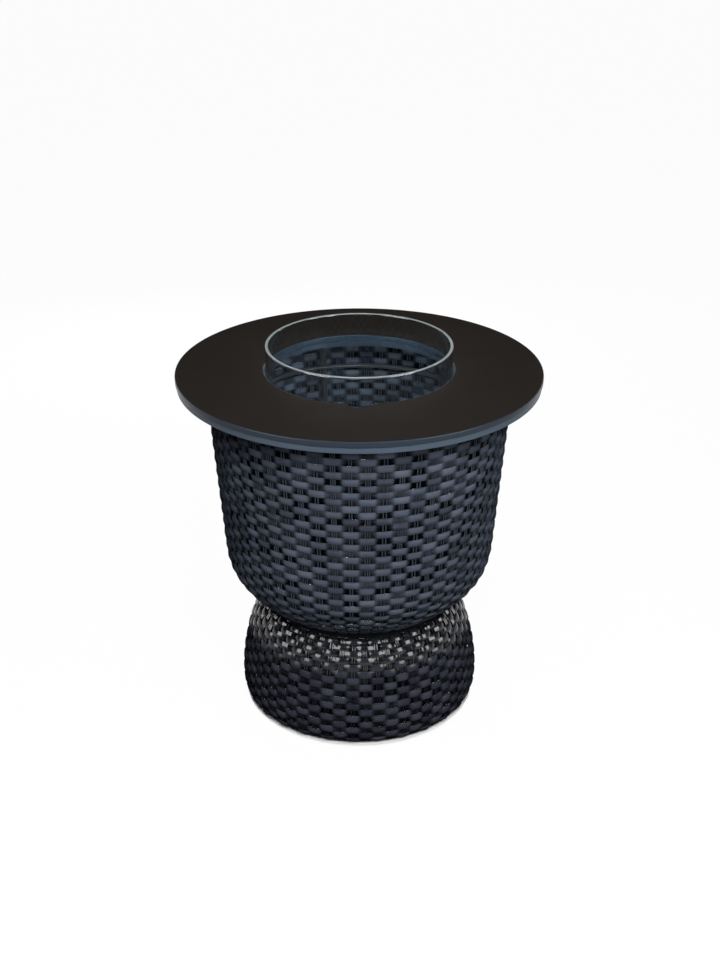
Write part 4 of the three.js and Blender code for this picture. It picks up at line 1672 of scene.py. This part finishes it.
    def lamp(self, name: str, place: tuple[float, float, float],
             aim: tuple[float, float, float], size: tuple[float, float],
             power: float, task: Task = Task.BOTH) -> None:
        """Hangs one soft lamp.

        Args:
            name: its name
            place: where it hangs
            aim: the point it faces
            size: its width and height
            power: its power in watts
            task: whether it fills, draws highlights or both
        """
        data = bpy.data.lights.new(name, "AREA")
        data.shape = "RECTANGLE"
        data.size, data.size_y = size
        data.energy = power
        lamp = bpy.data.objects.new(name, data)
        lamp.location = place
        lamp.visible_camera = False
        lamp.visible_glossy = task is not Task.FILL
        lamp.visible_diffuse = task is not Task.HIGHLIGHT
        towards = Vector(aim) - Vector(place)
        lamp.rotation_euler = towards.to_track_quat("-Z", "Y").to_euler()
        bpy.context.scene.collection.objects.link(lamp)

    def build(self) -> None:
        """Sets the camera, the floor, the world and the lamps."""
        self.camera()
        self.floor()
        self.world()
        self.lamp("key_softbox", (0.17, -1.05, 1.05), (0, 0, 0.2), (0.7, 0.5), 22, Task.FILL)
        self.lamp("back_softbox", (-0.3, 1.5, 0.6), (0, 0, 0.2), (0.9, 0.5), 10, Task.FILL)
        self.lamp("overhead_softbox", (0.0, -0.25, 1.9), (0, 0, 0.4), (1.0, 0.6), 11)
        self.lamp("left_softbox", (-1.4, -1.15, 0.85), (0, 0, 0.15), (1.1, 1.3), 38,
                  Task.HIGHLIGHT)
        self.lamp("right_softbox", (1.4, -1.15, 0.85), (0, 0, 0.15), (1.1, 1.3), 42,
                  Task.HIGHLIGHT)
        bpy.context.scene.view_settings.view_transform = "Standard"


def main() -> None:
    """Sets the studio, then builds the table in it from its skins to its glides."""
    logging.basicConfig(level=logging.INFO, format="%(message)s")
    sizes = SkinSizes()
    tub, foot = tub_outline(sizes), foot_outline(sizes)
    rods = RodFrame(sizes, tub, foot)
    bowl = IceBowl()
    parts = (
        Studio(),
        WovenSkin("tub", "tub_weave", tub, TUB_STRAND, TUB_WIRE, 11, (0.0, 0.5, 1.0)),
        WovenSkin("foot", "foot_weave", foot, FOOT_STRAND, FOOT_WIRE, 23, camber=0.1 * MM),
        rods,
        Top(sizes),
        bowl,
        Cradle(rods, bowl),
        Glides(sizes, rods),
        CarriedOver(),
    )
    for part in parts:
        part.build()


if __name__ == "__main__":
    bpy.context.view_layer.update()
    main()
